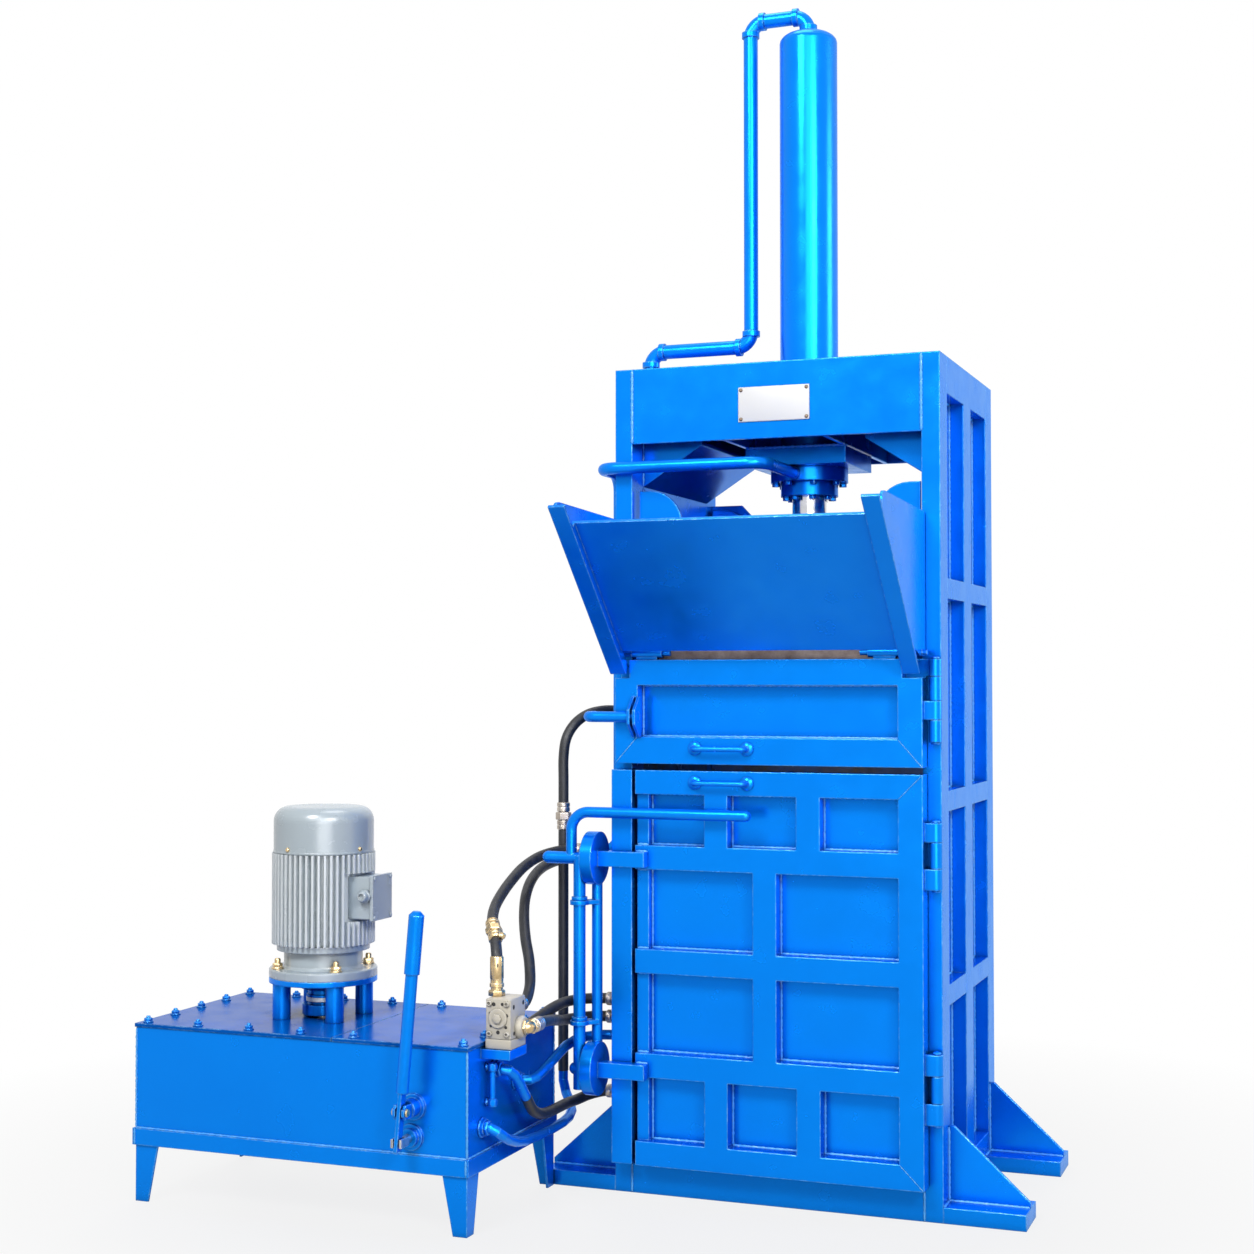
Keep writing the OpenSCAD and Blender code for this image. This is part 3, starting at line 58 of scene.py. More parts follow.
FOCAL_PX = 1930
IMAGE_PX = 1254
SENSOR_MM = 36
CAMERA_AT = (1.509, -5.410, 1.417)
CAMERA_PITCH, CAMERA_TURN = 91.6, 21  # degrees
camera_data = bpy.data.cameras.new("camera")
camera_data.sensor_width = SENSOR_MM
camera_data.lens = SENSOR_MM * FOCAL_PX / IMAGE_PX
camera_data.clip_end = 200
camera = bpy.data.objects.new("camera", camera_data)
camera.location = CAMERA_AT
camera.rotation_euler = (math.radians(CAMERA_PITCH), 0, math.radians(CAMERA_TURN))
scene.collection.objects.link(camera)
scene.camera = camera


# Materials

def new_material(name):
    """A material, its node tree and its shader."""
    material = bpy.data.materials.new(name)
    material.use_nodes = True
    tree = material.node_tree
    return material, tree, tree.nodes["Principled BSDF"]


def add(tree, kind, **properties):
    """A shader node with its properties set."""
    node = tree.nodes.new(kind)
    for key, value in properties.items():
        setattr(node, key, value)
    return node


def noise(tree, scale, detail, rough=0.5):
    """Noise in the part's frame."""
    coords = add(tree, "ShaderNodeTexCoord")
    node = add(tree, "ShaderNodeTexNoise")
    node.inputs["Scale"].default_value = scale
    node.inputs["Detail"].default_value = detail
    node.inputs["Roughness"].default_value = rough
    tree.links.new(coords.outputs["Object"], node.inputs["Vector"])
    return node.outputs["Fac"]


def remap(tree, value, *ends):
    """A value taken from one range to another: from low, from high, to low, to high."""
    node = add(tree, "ShaderNodeMapRange")
    for index, number in enumerate(ends):
        node.inputs[index + 1].default_value = number
    tree.links.new(value, node.inputs[0])
    return node.outputs[0]


def maths(tree, operation, a, b):
    """An operation on a and b, each a number or a socket."""
    node = add(tree, "ShaderNodeMath", operation=operation)
    for index, value in enumerate((a, b)):
        if isinstance(value, (int, float)):
            node.inputs[index].default_value = value
        else:
            tree.links.new(value, node.inputs[index])
    return node.outputs[0]


def mix(tree, factor, a, b):
    """A colour between a and b, each a colour or a socket."""
    node = add(tree, "ShaderNodeMix", data_type="RGBA")
    tree.links.new(factor, node.inputs[0])
    for socket, value in ((node.inputs[6], a), (node.inputs[7], b)):
        if isinstance(value, tuple):
            socket.default_value = (*value, 1)
        else:
            tree.links.new(value, socket)
    return node.outputs[2]


EDGE_COSINE = 0.80  # between the true and the rounded normal, at a full edge
RAYS = 4  # per bevel or occlusion node


def edge_mask(tree, radius):
    """1 on convex and concave edges, 0 on flat faces, and the rounded normal."""
    bevel = add(tree, "ShaderNodeBevel", samples=RAYS)
    bevel.inputs["Radius"].default_value = radius
    geometry = add(tree, "ShaderNodeNewGeometry")
    dot = add(tree, "ShaderNodeVectorMath", operation="DOT_PRODUCT")
    tree.links.new(bevel.outputs[0], dot.inputs[0])
    tree.links.new(geometry.outputs["Normal"], dot.inputs[1])
    return remap(tree, dot.outputs["Value"], 1.0, EDGE_COSINE, 0.0, 1.0), bevel.outputs[0]


def occlusion(tree, reach):
    """1 where the surroundings are open within a reach, down to 0 where they are closed."""
    node = add(tree, "ShaderNodeAmbientOcclusion", samples=RAYS)
    node.inputs["Distance"].default_value = reach
    return node.outputs["AO"]


def bump(tree, height, strength, distance, normal=None):
    """A normal with small heights on it."""
    node = add(tree, "ShaderNodeBump")
    node.inputs["Strength"].default_value = strength
    node.inputs["Distance"].default_value = distance
    tree.links.new(height, node.inputs["Height"])
    if normal is not None:
        tree.links.new(normal, node.inputs["Normal"])
    return node.outputs[0]


def inside_mask(tree, low, high):
    """1 within a box in the part's frame, 0 outside it."""
    coords = add(tree, "ShaderNodeTexCoord")
    split = add(tree, "ShaderNodeSeparateXYZ")
    tree.links.new(coords.outputs["Object"], split.inputs[0])
    result = None
    for axis in range(3):
        above = maths(tree, "GREATER_THAN", split.outputs[axis], low[axis])
        below = maths(tree, "LESS_THAN", split.outputs[axis], high[axis])
        both = maths(tree, "MULTIPLY", above, below)
        result = both if result is None else maths(tree, "MULTIPLY", result, both)
    return result


PAINT_EDGE = 0.005  # radius of the paint's rounded edges and of the painted highlight along them
EDGE_HIGHLIGHT_STRENGTH = 0.9
SEAM_SHADE_REACH, RECESS_SHADE_REACH = 0.022, 0.30  # how far the painted shade of a concave joint and of a deep corner reaches
SHADE_TONE = 0.22  # the painted shade's colour, as a part of the paint's
RUST_STEEL, BARE_STEEL = (0.10, 0.075, 0.055), (0.30, 0.27, 0.24)
BLUE_TINT = (0.15, 0.62, 1.0)


def paint(name, colour, highlight, dark, rough, worn=None, painted_shade=0.8, shine=0.5, tint=BLUE_TINT,
          flake=0.0):
    """Sprayed paint: soft tone changes, orange peel, a few scuffs, painted edge highlights and
    painted corner shade.

    Inside the box worn it is scraped to the steel. tint colours its reflections, and flake
    makes it part metallic.
    """
    material, tree, shader = new_material(name)
    links = tree.links
    tone = remap(tree, noise(tree, 2.2, 4, 0.55), 0.3, 0.7, 0.0, 1.0)
    base = mix(tree, tone, dark, colour)
    # The lighter edges are a painted highlight, broken up by noise
    edge, rounded = edge_mask(tree, PAINT_EDGE)
    highlight_speckle = remap(tree, noise(tree, 55, 5, 0.65), 0.45, 0.62, 0.2 * EDGE_HIGHLIGHT_STRENGTH,
                    EDGE_HIGHLIGHT_STRENGTH)
    base = mix(tree, maths(tree, "MULTIPLY", edge, highlight_speckle), base, highlight)
    scuff = remap(tree, noise(tree, 16, 7, 0.75), 0.66, 0.78, 0.0, 0.30)
    base = mix(tree, scuff, base, dark)
    # Painted shade: darker in concave corners and deep recesses, found by occlusion
    if painted_shade:
        shade_colour = tuple(SHADE_TONE * c for c in colour)
        seam_shade = remap(tree, occlusion(tree, SEAM_SHADE_REACH), 0.30, 0.85, painted_shade, 0.0)
        base = mix(tree, seam_shade, base, shade_colour)
        recess_shade = remap(tree, occlusion(tree, RECESS_SHADE_REACH), 0.10, 0.48, painted_shade, 0.0)
        base = mix(tree, recess_shade, base, shade_colour)
    roughness = remap(tree, noise(tree, 14, 4), 0.3, 0.75, rough - 0.05, rough + 0.08)
    if worn is not None:
        scrape = remap(tree, noise(tree, 6, 8, 0.7), 0.36, 0.60, 1.0, 0.55)
        mask = maths(tree, "MULTIPLY", inside_mask(tree, *worn), scrape)
        scraped = mix(tree, noise(tree, 30, 6, 0.7), RUST_STEEL, BARE_STEEL)
        base = mix(tree, mask, base, scraped)
    links.new(base, shader.inputs["Base Color"])
    links.new(roughness, shader.inputs["Roughness"])
    peel = bump(tree, noise(tree, 420, 2), 0.05, 0.0006, rounded)
    wave = bump(tree, noise(tree, 26, 2), 0.10, 0.0012, peel)
    links.new(wave, shader.inputs["Normal"])
    shader.inputs["Metallic"].default_value = flake
    shader.inputs["Specular IOR Level"].default_value = shine
    shader.inputs["Specular Tint"].default_value = (*tint, 1)
    return material


METAL_EDGE = 0.0025  # radius of a metal's rounded edges and of the painted highlight along them


def metal(name, colour, dark, rough, grain, strength, edge_highlight=None):
    """Bare metal with uneven tone, fine scratches and, where an edge colour is given, painted
    highlights on its edges.
    """
    material, tree, shader = new_material(name)
    links = tree.links
    tone = remap(tree, noise(tree, grain * 0.4, 6, 0.65), 0.35, 0.68, 0, 1)
    base = mix(tree, tone, dark, colour)
    edge, rounded = edge_mask(tree, METAL_EDGE)
    # A lighter colour on the edges: a painted highlight
    if edge_highlight is not None:
        base = mix(tree, edge, base, edge_highlight)
    links.new(base, shader.inputs["Base Color"])
    roughness = remap(tree, noise(tree, grain, 5), 0.3, 0.7, rough - 0.06, rough + 0.12)
    links.new(roughness, shader.inputs["Roughness"])
    links.new(bump(tree, noise(tree, grain * 5, 3), strength, 0.0008, rounded),
              shader.inputs["Normal"])
    shader.inputs["Metallic"].default_value = 1.0
    return material


def rubber(name):
    """Wrapped hydraulic hose: dull black with a fine cloth mark and pale dust."""
    material, tree, shader = new_material(name)
    links = tree.links
    dust = remap(tree, noise(tree, 30, 6, 0.7), 0.45, 0.8, 0.0, 0.6)
    links.new(mix(tree, dust, (0.016, 0.017, 0.020), (0.055, 0.056, 0.060)),
              shader.inputs["Base Color"])
    links.new(remap(tree, noise(tree, 60, 4), 0.3, 0.7, 0.38, 0.58), shader.inputs["Roughness"])
    links.new(bump(tree, noise(tree, 700, 3), 0.35, 0.0006), shader.inputs["Normal"])
    return material


WHITE = (1.0, 1.0, 1.0)
BLUE = (0.000, 0.245, 0.930)
# The paint's edge colour, a painted highlight
BLUE_EDGE_HIGHLIGHT = (0.330, 0.740, 1.000)
BLUE_DARK = (0.000, 0.222, 0.880)
# The inside of the press, where the paint is worn off
CHAMBER = ((-0.4103, -0.3763, 0.087), (0.4103, 0.3303, 1.72))
blue = paint("blue_paint", BLUE, BLUE_EDGE_HIGHLIGHT, BLUE_DARK, 0.22, flake=0.5)
blue_worn = paint("blue_paint_worn_inside", BLUE, BLUE_EDGE_HIGHLIGHT, BLUE_DARK, 0.22, worn=CHAMBER,
                  flake=0.5)
# The welds' blue is lighter than the frame's: a painted highlight on the beads
weld_highlight_blue = paint("weld_highlight_paint", (0.140, 0.540, 1.000), (0.50, 0.85, 1.00),
                  (0.020, 0.360, 0.960), 0.16, painted_shade=0.0, tint=WHITE)
# A darker copy of the blue for the tank lid: painted shade on its glossy top
lid_blue_shaded = paint("lid_paint_shaded", (0.0, 0.115, 0.560), BLUE_EDGE_HIGHLIGHT, (0.0, 0.090, 0.440), 0.20,
                 shine=0.06)
grey = paint("motor_paint", (0.470, 0.545, 0.590), (0.72, 0.77, 0.80), (0.400, 0.470, 0.515),
             0.24, painted_shade=0.4, shine=1.0, tint=WHITE)
# A lighter copy of the motor's grey for the fins: painted light against the shade between them
fin_grey_lightened = paint("motor_fin_paint_lightened", (0.760, 0.815, 0.840), (0.86, 0.90, 0.92),
                 (0.700, 0.755, 0.785), 0.30, painted_shade=0.0, shine=0.8, tint=WHITE)
chrome = metal("chrome", (0.80, 0.81, 0.83), (0.62, 0.63, 0.66), 0.14, 40, 0.02)
steel = metal("steel", (0.56, 0.56, 0.57), (0.36, 0.36, 0.37), 0.36, 80, 0.08, (0.8, 0.8, 0.8))
brass = metal("brass", (0.74, 0.56, 0.30), (0.46, 0.33, 0.17), 0.28, 90, 0.06,
              (0.90, 0.76, 0.52))
cast = paint("valve_metal", (0.640, 0.590, 0.480), (0.86, 0.83, 0.76), (0.500, 0.450, 0.350),
             0.42, tint=WHITE)
# Near black for the discs in the open ports: painted shade
hole_shade = paint("hole_shade", (0.030, 0.028, 0.026), (0.06, 0.055, 0.05), (0.015, 0.014, 0.013),
                  0.6, tint=WHITE)
warm_steel = metal("warm_steel", (0.56, 0.50, 0.43), (0.36, 0.31, 0.26), 0.32, 80, 0.08,
                   (0.80, 0.76, 0.70))
plate_metal = metal("plate_metal", (0.60, 0.61, 0.62), (0.50, 0.51, 0.52), 0.50, 120, 0.03)
plate_paint = paint("plate_paint", (0.800, 0.800, 0.790), (0.88, 0.88, 0.87),
                    (0.740, 0.740, 0.735), 0.40, tint=WHITE)
bare_steel = metal("bare_steel", (0.30, 0.24, 0.19), (0.15, 0.11, 0.085), 0.55, 40, 0.2)
hose_mat = rubber("hose_rubber")

WORN = ("side_wall_left", "side_wall_right", "back_wall", "base_frame", "platen", "upper_door",
        "lower_door")
GREY = ("fan_cowl", "motor_flange", "terminal_box")
STEEL = ("piston", "motor_shaft", "pump", "valve_spool")
CAD_SMOOTH, WELD_SMOOTH = 32, 60  # degrees
node_material = {name: blue for name in nodes}
node_material.update({name: blue_worn for name in WORN})
node_material.update({name: grey for name in GREY})
node_material.update({name: steel for name in STEEL})
node_material.update({"piston_rod": chrome, "tank_lid": lid_blue_shaded, "motor_frame": fin_grey_lightened,
                      "valve_block": cast, "brass_fittings": brass})


def smooth_by_angle(mesh, degrees):
    """Smooth shading, with the edges sharper than an angle kept sharp."""
    for polygon in mesh.polygons:
        polygon.use_smooth = True
    mesh.set_sharp_from_angle(angle=math.radians(degrees))


for name, node in nodes.items():
    node.data.materials.clear()
    node.data.materials.append(node_material[name])
    smooth_by_angle(node.data, CAD_SMOOTH)


# Mesh building

def frame_of(axis):
    """Two directions square to an axis, and the axis."""
    w = Vector(axis).normalized()
    u = w.cross(Vector(UP if abs(w.z) < 0.9 else RIGHT)).normalized()
    return u, w.cross(u), w


BEAD_STEP = 0.0065  # between the ripples of a weld


class Piece:
    """A mesh put together from simple shapes, for one body and one material."""

    def __init__(self):
        self.bm = bmesh.new()

    def rings(self, rings):
        """Skins a list of rings of points, and caps both ends."""
        made = [[self.bm.verts.new(p) for p in ring] for ring in rings]
        count = len(made[0])
        for a, b in zip(made, made[1:]):
            for k in range(count):
                n = (k + 1) % count
                self.bm.faces.new((a[k], a[n], b[n], b[k]))
        self.bm.faces.new(list(reversed(made[0])))
        self.bm.faces.new(made[-1])

    def lathe(self, profile, centre, axis, sides, turn=0.0):
        """A turned shape: (radius, height) pairs about an axis through a centre."""
        u, v, w = frame_of(axis)
        rings = []
        for radius, height in profile:
            radius = max(radius, 1e-5)
            rings.append([Vector(centre) + w * height
                          + radius * (math.cos(a) * u + math.sin(a) * v)
                          for a in (turn + 2 * math.pi * k / sides for k in range(sides))])
        self.rings(rings)

    def hexagon(self, centre, axis, radius, height, turn=0.0):
        """A hexagon head or nut with a chamfered top."""
        self.lathe([(radius * 0.97, 0), (radius, height * 0.06), (radius, height * 0.82),
                    (radius * 0.86, height)], centre, axis, 6, turn)

    def tube(self, points, radius, sides):
        """A round bar through points, with one radius or one for each point."""
        points = [Vector(p) for p in points]
        side = None
        rings = []
        for i, p in enumerate(points):
            t = (points[min(i + 1, len(points) - 1)] - points[max(i - 1, 0)]).normalized()
            if side is None:
                side = frame_of(t)[0]
            side = (side - side.dot(t) * t).normalized()
            up = t.cross(side)
            r = radius[i] if isinstance(radius, list) else radius
            rings.append([p + r * (math.cos(a) * side + math.sin(a) * up)
                          for a in (2 * math.pi * k / sides for k in range(sides))])
        self.rings(rings)

    def bead(self, p, q, radius):
        """A weld bead with its ripples, from p to q."""
        p, q = Vector(p), Vector(q)
        count = max(3, int((q - p).length / BEAD_STEP))
        points = [p.lerp(q, i / count) for i in range(count + 1)]
        radii = [radius * (0.82 + 0.26 * (i % 2) + 0.12 * math.sin(i * 1.7 + p.x * 40 + p.z * 23))
                 for i in range(count + 1)]
        radii[0] = radii[-1] = radius * 0.5
        self.tube(points, radii, 6)

    def block(self, low, high, bevel):
        """A box between two corners, with rounded edges."""
        low, high = Vector(low), Vector(high)
        made = bmesh.ops.create_cube(self.bm, size=1.0, matrix=Matrix.Translation((low + high) / 2)
                                     @ Matrix.Diagonal((*(high - low), 1)))
        edges = {e for v in made["verts"] for e in v.link_edges}
        bmesh.ops.bevel(self.bm, geom=list(edges), offset=bevel, segments=2, affect="EDGES",
                        profile=0.6)

    def finish(self, name, material, body, angle=40):
        """Turns the shapes into a piece of the scene that rides a body."""
        bmesh.ops.recalc_face_normals(self.bm, faces=self.bm.faces)
        mesh = bpy.data.meshes.new(name)
        self.bm.to_mesh(mesh)
        self.bm.free()
        mesh.materials.append(material)
        smooth_by_angle(mesh, angle)
        piece = bpy.data.objects.new(name, mesh)
        scene.collection.objects.link(piece)
        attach(piece, body)
        return piece


# Hoses: the routes of the part's source, in millimetres

HOSE_D = 0.030
HOSE_R = HOSE_D / 2
ROUTES = {
    "hose_return": [(-679, -225, 290), (-679, -225, 375), (-679, -225, 460), (-679, -225, 545),
                    (-679, -225, 630), (-679, -225, 715), (-679, -225, 800), (-679, -225, 885),
                    (-679, -225, 970), (-679, -225, 1055), (-679, -225, 1130),
                    (-679, -225, 1195), (-673, -218, 1250), (-655, -196, 1292),
                    (-628, -164, 1319), (-596, -126.5, 1330), (-562, -86, 1330),
                    (-530, -48, 1330)],
    "hose_rod_end": [(-625, -800, 640), (-625, -800, 694), (-649, -760, 742), (-682, -705, 775),
                     (-706, -640, 803), (-718, -568, 832), (-722, -495, 862), (-719, -420, 892),
                     (-704, -347, 915), (-670, -287, 928), (-628, -250, 930), (-590, -250, 930)],
    "hose_cap_end": [(-602, -725, 560), (-602, -672, 560), (-614, -612, 594), (-638, -562, 652),
                     (-670, -515, 706), (-700, -458, 758), (-724, -395, 804), (-740, -322, 842),
                     (-747, -242, 868), (-742, -162, 882), (-718, -90, 889), (-672, -32, 890),
                     (-622, 0, 890), (-585, 0, 890)],
    "hose_supply": [(-535, -765, 517), (-535, -708, 517), (-547, -640, 509), (-563, -575, 499),
                    (-577, -510, 487), (-585, -455, 478), (-586, -410, 473), (-577, -366, 470),
                    (-552, -324, 469), (-515, -300, 468), (-474, -300, 468)],
    "hose_drain": [(-602, -725, 495), (-602, -665, 495), (-602, -605, 501), (-602, -540, 509),
                   (-602, -475, 515), (-602, -415, 517), (-593, -369, 518), (-567, -326, 518),
                   (-524, -300, 518), (-474, -300, 518)],
    "hose_low": [(-590, -690, 312), (-590, -650, 272), (-590, -600, 250), (-591, -545, 242),
                 (-591, -490, 240), (-590, -440, 240), (-588, -402, 240), (-579, -362, 241),
                 (-555, -322, 250), (-516, -300, 258), (-474, -300, 258)],
}


def smooth_route(points, per_span=6):
    """A smooth line through the route's points, in metres."""
    pts = [mm(*p) for p in points]
    ends = [pts[0] * 2 - pts[1], *pts, pts[-1] * 2 - pts[-2]]
    line = []
    for i in range(1, len(ends) - 2):
        a, b, c, d = ends[i - 1:i + 3]
        for k in range(per_span):
            t = k / per_span
            line.append(0.5 * (2 * b + (c - a) * t + (2 * a - 5 * b + 4 * c - d) * t ** 2
                               + (3 * b - a - 3 * c + d) * t ** 3))
    return [*line, pts[-1]]


def ferrule(piece, at, along):
    """A crimped hose end that starts at a point and runs along the hose."""
    r = HOSE_R
    piece.lathe([(r + 0.0005, 0), (r + 0.004, 0.002), (r + 0.004, 0.010), (r + 0.0025, 0.012),
                 (r + 0.004, 0.014), (r + 0.004, 0.022), (r + 0.0025, 0.024), (r + 0.004, 0.026),
                 (r + 0.004, 0.036), (r + 0.0004, 0.040)], at, along, 24)


# Hoses whose first end is in a fitting or out of sight, without a ferrule
BARE_STARTS = ("hose_low", "hose_return", "hose_rod_end")
ferrules = Piece()
cords = {}
for name, route in ROUTES.items():
    line = smooth_route(route)
    data = bpy.data.curves.new(name + "_rubber", "CURVE")
    data.dimensions = "3D"
    data.bevel_depth = HOSE_R
    data.bevel_resolution = 4
    data.use_fill_caps = True
    spline = data.splines.new("POLY")
    spline.points.add(len(line) - 1)
    for point, place in zip(spline.points, line):
        point.co = (*place, 1)
    spline.use_smooth = True
    data.materials.append(hose_mat)
    cord = bpy.data.objects.new(name + "_rubber", data)
    scene.collection.objects.link(cord)
    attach(cord, "frame")
    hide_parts(name)
    cords[name] = line
    if name not in BARE_STARTS:
        ferrule(ferrules, line[0], (line[1] - line[0]).normalized())
    ferrule(ferrules, line[-1], (line[-2] - line[-1]).normalized())


def coupling(piece, at, along):
    """A hexagon union between two ferrules, on a hose."""
    w = Vector(along).normalized()
    r = HOSE_R
    for sign in (-1, 1):
        piece.lathe([(r + 0.0005, 0.040), (r + 0.004, 0.037), (r + 0.004, 0.028),
                     (r + 0.002, 0.026), (r + 0.004, 0.024), (r + 0.004, 0.014),
                     (r + 0.001, 0.012), (r + 0.001, 0.008)], at, w * sign, 24)
    piece.lathe([(r + 0.006, -0.011), (r + 0.008, -0.009), (r + 0.008, 0.009),
                 (r + 0.006, 0.011)], at, w, 6)


coupling(ferrules, mm(-679, -225, 1025), UP)
ferrules.finish("hose_ferrules", warm_steel, "frame")

# A brass coupling with a side port, on the hose to the rod end
rod_line = cords["hose_rod_end"]
JOINT = 14
middle = rod_line[JOINT]
brass_coupling = Piece()
coupling(brass_coupling, middle, (rod_line[JOINT + 1] - rod_line[JOINT - 1]).normalized())
brass_coupling.lathe([(0.006, 0.016), (0.006, 0.034), (0.009, 0.036), (0.009, 0.044),
                      (0.006, 0.047)], middle, (0.8, -0.5, -0.2), 16)
brass_coupling.finish("hose_brass_coupling", brass, "frame")


# Welds: beads along the joints of the plates, by body

BEAD, FINE_BEAD, MITRE_BEAD = 0.004, 0.003, 0.0012
BEAM_BEAD, HIDDEN_BEAD, POST_BEAD = 0.0045, 0.0032, 0.0035


def rectangle_beads(piece, fixed, axis, a0, a1, b0, b1):
    """Beads round a rectangle at one value of an axis."""
    def at(a, b):
        return mm(fixed, a, b) if axis == "x" else mm(a, fixed, b)
    corners = [at(a0, b0), at(a1, b0), at(a1, b1), at(a0, b1)]
    for p, q in zip(corners, corners[1:] + corners[:1]):
        piece.bead(p, q, BEAD)


# Faces of the columns: outer in Y, and inner in X and Y
HY, IN_X, IN_Y = 370, 410, 280
SIDE_SKIN, BACK_SKIN, RIB = 419, 339, 50
BAYS = [(100, 553), (607, 1069), (1123, 1638), (1692, 2190)]
BACK_BAYS = BAYS[:3] + [(1692, 1846)]
BEAM_Z = (2082, 2288)
BED_Z, BED_X, BED_Y = 2081, 147, 150
FOOT_X, FOOT_END, FOOT_W, FOOT_TOP, GUSSET_TOP, GUSSET_HALF = 461, 672, 150, 42, 236, 4
POST_FACE, POST_Z = -371, (96, 1168)

frame_welds = Piece()
for side in (-1, 1):
    for z0, z1 in BAYS:
        for y0, y1 in ((-IN_Y, -RIB), (RIB, IN_Y)):
            rectangle_beads(frame_welds, side * SIDE_SKIN, "x", y0, y1, z0, z1)
for z0, z1 in BACK_BAYS:
    for x0, x1 in ((-IN_X, -RIB), (RIB, IN_X)):
        rectangle_beads(frame_welds, BACK_SKIN, "y", x0, x1, z0, z1)
for side in (-1, 1):
    # Columns to the beam, the door opening and the base
    for y, z0, z1, radius in ((-HY, *BEAM_Z, BEAM_BEAD), (-IN_Y, 1490, 1966, BEAD),
                              (HY, *BEAM_Z, HIDDEN_BEAD), (-HY, 2, 78, HIDDEN_BEAD)):
        frame_welds.bead(mm(side * IN_X, y, z0), mm(side * IN_X, y, z1), radius)
    # Feet and their gussets
    foot = side * FOOT_X
    for y0 in (-HY, HY - FOOT_W):
        mid = y0 + FOOT_W // 2
        for y in (mid - GUSSET_HALF, mid + GUSSET_HALF):
            frame_welds.bead(mm(foot + side, y, FOOT_TOP + 1),
                             mm(side * FOOT_END, y, FOOT_TOP + 1), BEAD)
            frame_welds.bead(mm(foot, y, FOOT_TOP + 3), mm(foot, y, GUSSET_TOP), BEAD)
        frame_welds.bead(mm(foot, y0 + 6, FOOT_TOP), mm(foot, y0 + FOOT_W - 6, FOOT_TOP), BEAD)
    for y in (-IN_Y, IN_Y):
        frame_welds.bead(mm(side * (IN_X + 1), y, 1970), mm(side * (IN_X + 1), y, 2276), BEAD)
for x in (-449, -389):
    frame_welds.bead(mm(x, POST_FACE, POST_Z[0]), mm(x, POST_FACE, POST_Z[1]), POST_BEAD)
for y in (-BED_Y, BED_Y):
    frame_welds.bead(mm(1 - BED_X, y, BED_Z), mm(BED_X - 1, y, BED_Z), BEAD)
for x in (-BED_X, BED_X):
    frame_welds.bead(mm(x, 1 - BED_Y, BED_Z), mm(x, BED_Y - 1, BED_Z), BEAD)
frame_welds.finish("welds_frame", weld_highlight_blue, "frame", WELD_SMOOTH)

DOOR_SKIN, DOOR_FRONT = -385, -432
MITRE = 66
lower_welds = Piece()
for z0, z1 in ((966, 1106), (158, 332)):
    for x0, x1 in ((-344, -178), (-112, 80), (146, 357)):
        rectangle_beads(lower_welds, DOOR_SKIN, "y", x0, x1, z0, z1)
for z0, z1 in ((682, 900), (398, 616)):
    for x0, x1 in ((-344, -41), (25, 357)):
        rectangle_beads(lower_welds, DOOR_SKIN, "y", x0, x1, z0, z1)
for x, z, inward in ((423, 1172, -MITRE), (423, 92, MITRE)):
    lower_welds.bead(mm(x - 2, DOOR_FRONT, z + inward / 33),
                     mm(x - MITRE, DOOR_FRONT, z + inward), MITRE_BEAD)
for z in (899, 967, 615, 683, 331, 399):
    lower_welds.bead(mm(-376, DOOR_FRONT + 18, z), mm(-345, DOOR_FRONT + 18, z), BEAD)
for z in (907, 949, 329, 371):
    lower_welds.bead(mm(-374, DOOR_FRONT, z), mm(-342, DOOR_FRONT, z), BEAD)
lower_welds.finish("welds_lower_door", weld_highlight_blue, "lower_door", WELD_SMOOTH)

# Bare steel strip at the hopper's throat
strip = Piece()
strip.block(mm(-384, -384, 1475), mm(358, -377, 1500), 0.001)
strip.finish("throat_strip", bare_steel, "upper_door")

upper_welds = Piece()
rectangle_beads(upper_welds, DOOR_SKIN, "y", -371, 357, 1264, 1405)
for x, z, dx, dz in ((-437, 1190, MITRE, 74), (423, 1190, -MITRE, 74)):
    upper_welds.bead(mm(x + dx / 33, DOOR_FRONT, z + dz / 33),
                     mm(x + dx, DOOR_FRONT, z + dz), MITRE_BEAD)
upper_welds.finish("welds_upper_door", weld_highlight_blue, "upper_door", WELD_SMOOTH)

TX0, TX1, TY0, TY1 = -1645, -645, -935, -375  # the tank's sides
TANK_Z = (200, 470)
tank_welds = Piece()
for x in (TX0, TX1):
    for y in (TY0, TY1):
        tank_welds.bead(mm(x, y, TANK_Z[0]), mm(x, y, TANK_Z[1]), FINE_BEAD)
for x in (TX0, TX1):
    tank_welds.bead(mm(x, TY0 - 7, 155), mm(x, TY0 - 7, 197), FINE_BEAD)
tank_welds.bead(mm(TX0, TY0 - 1, 199), mm(TX1, TY0 - 1, 199), FINE_BEAD)
tank_welds.bead(mm(TX1 + 1, TY0, 199), mm(TX1 + 1, TY1, 199), FINE_BEAD)
tank_welds.finish("welds_tank", weld_highlight_blue, "frame", WELD_SMOOTH)


# Name plate, bare, with its screws

PLATE_X, PLATE_Z, PLATE_FACE = (-98, 104), (2126, 2222), -373
SCREW_IN = 8
plate = Piece()
plate.block(mm(PLATE_X[0], PLATE_FACE, PLATE_Z[0]), mm(PLATE_X[1], -HY, PLATE_Z[1]), 0.0012)
plate.finish("name_plate", plate_paint, "frame")
screws = Piece()
for x in (PLATE_X[0] + SCREW_IN, PLATE_X[1] - SCREW_IN):
    for z in (PLATE_Z[0] + SCREW_IN, PLATE_Z[1] - SCREW_IN):
        screws.lathe([(0.0050, 0), (0.0050, 0.001), (0.0038, 0.003), (0.0012, 0.0036),
                      (0, 0.0036)], mm(x, PLATE_FACE, z), FORWARD, 16)
screws.finish("plate_screws", bare_steel, "frame")


# Motor fasteners and trim

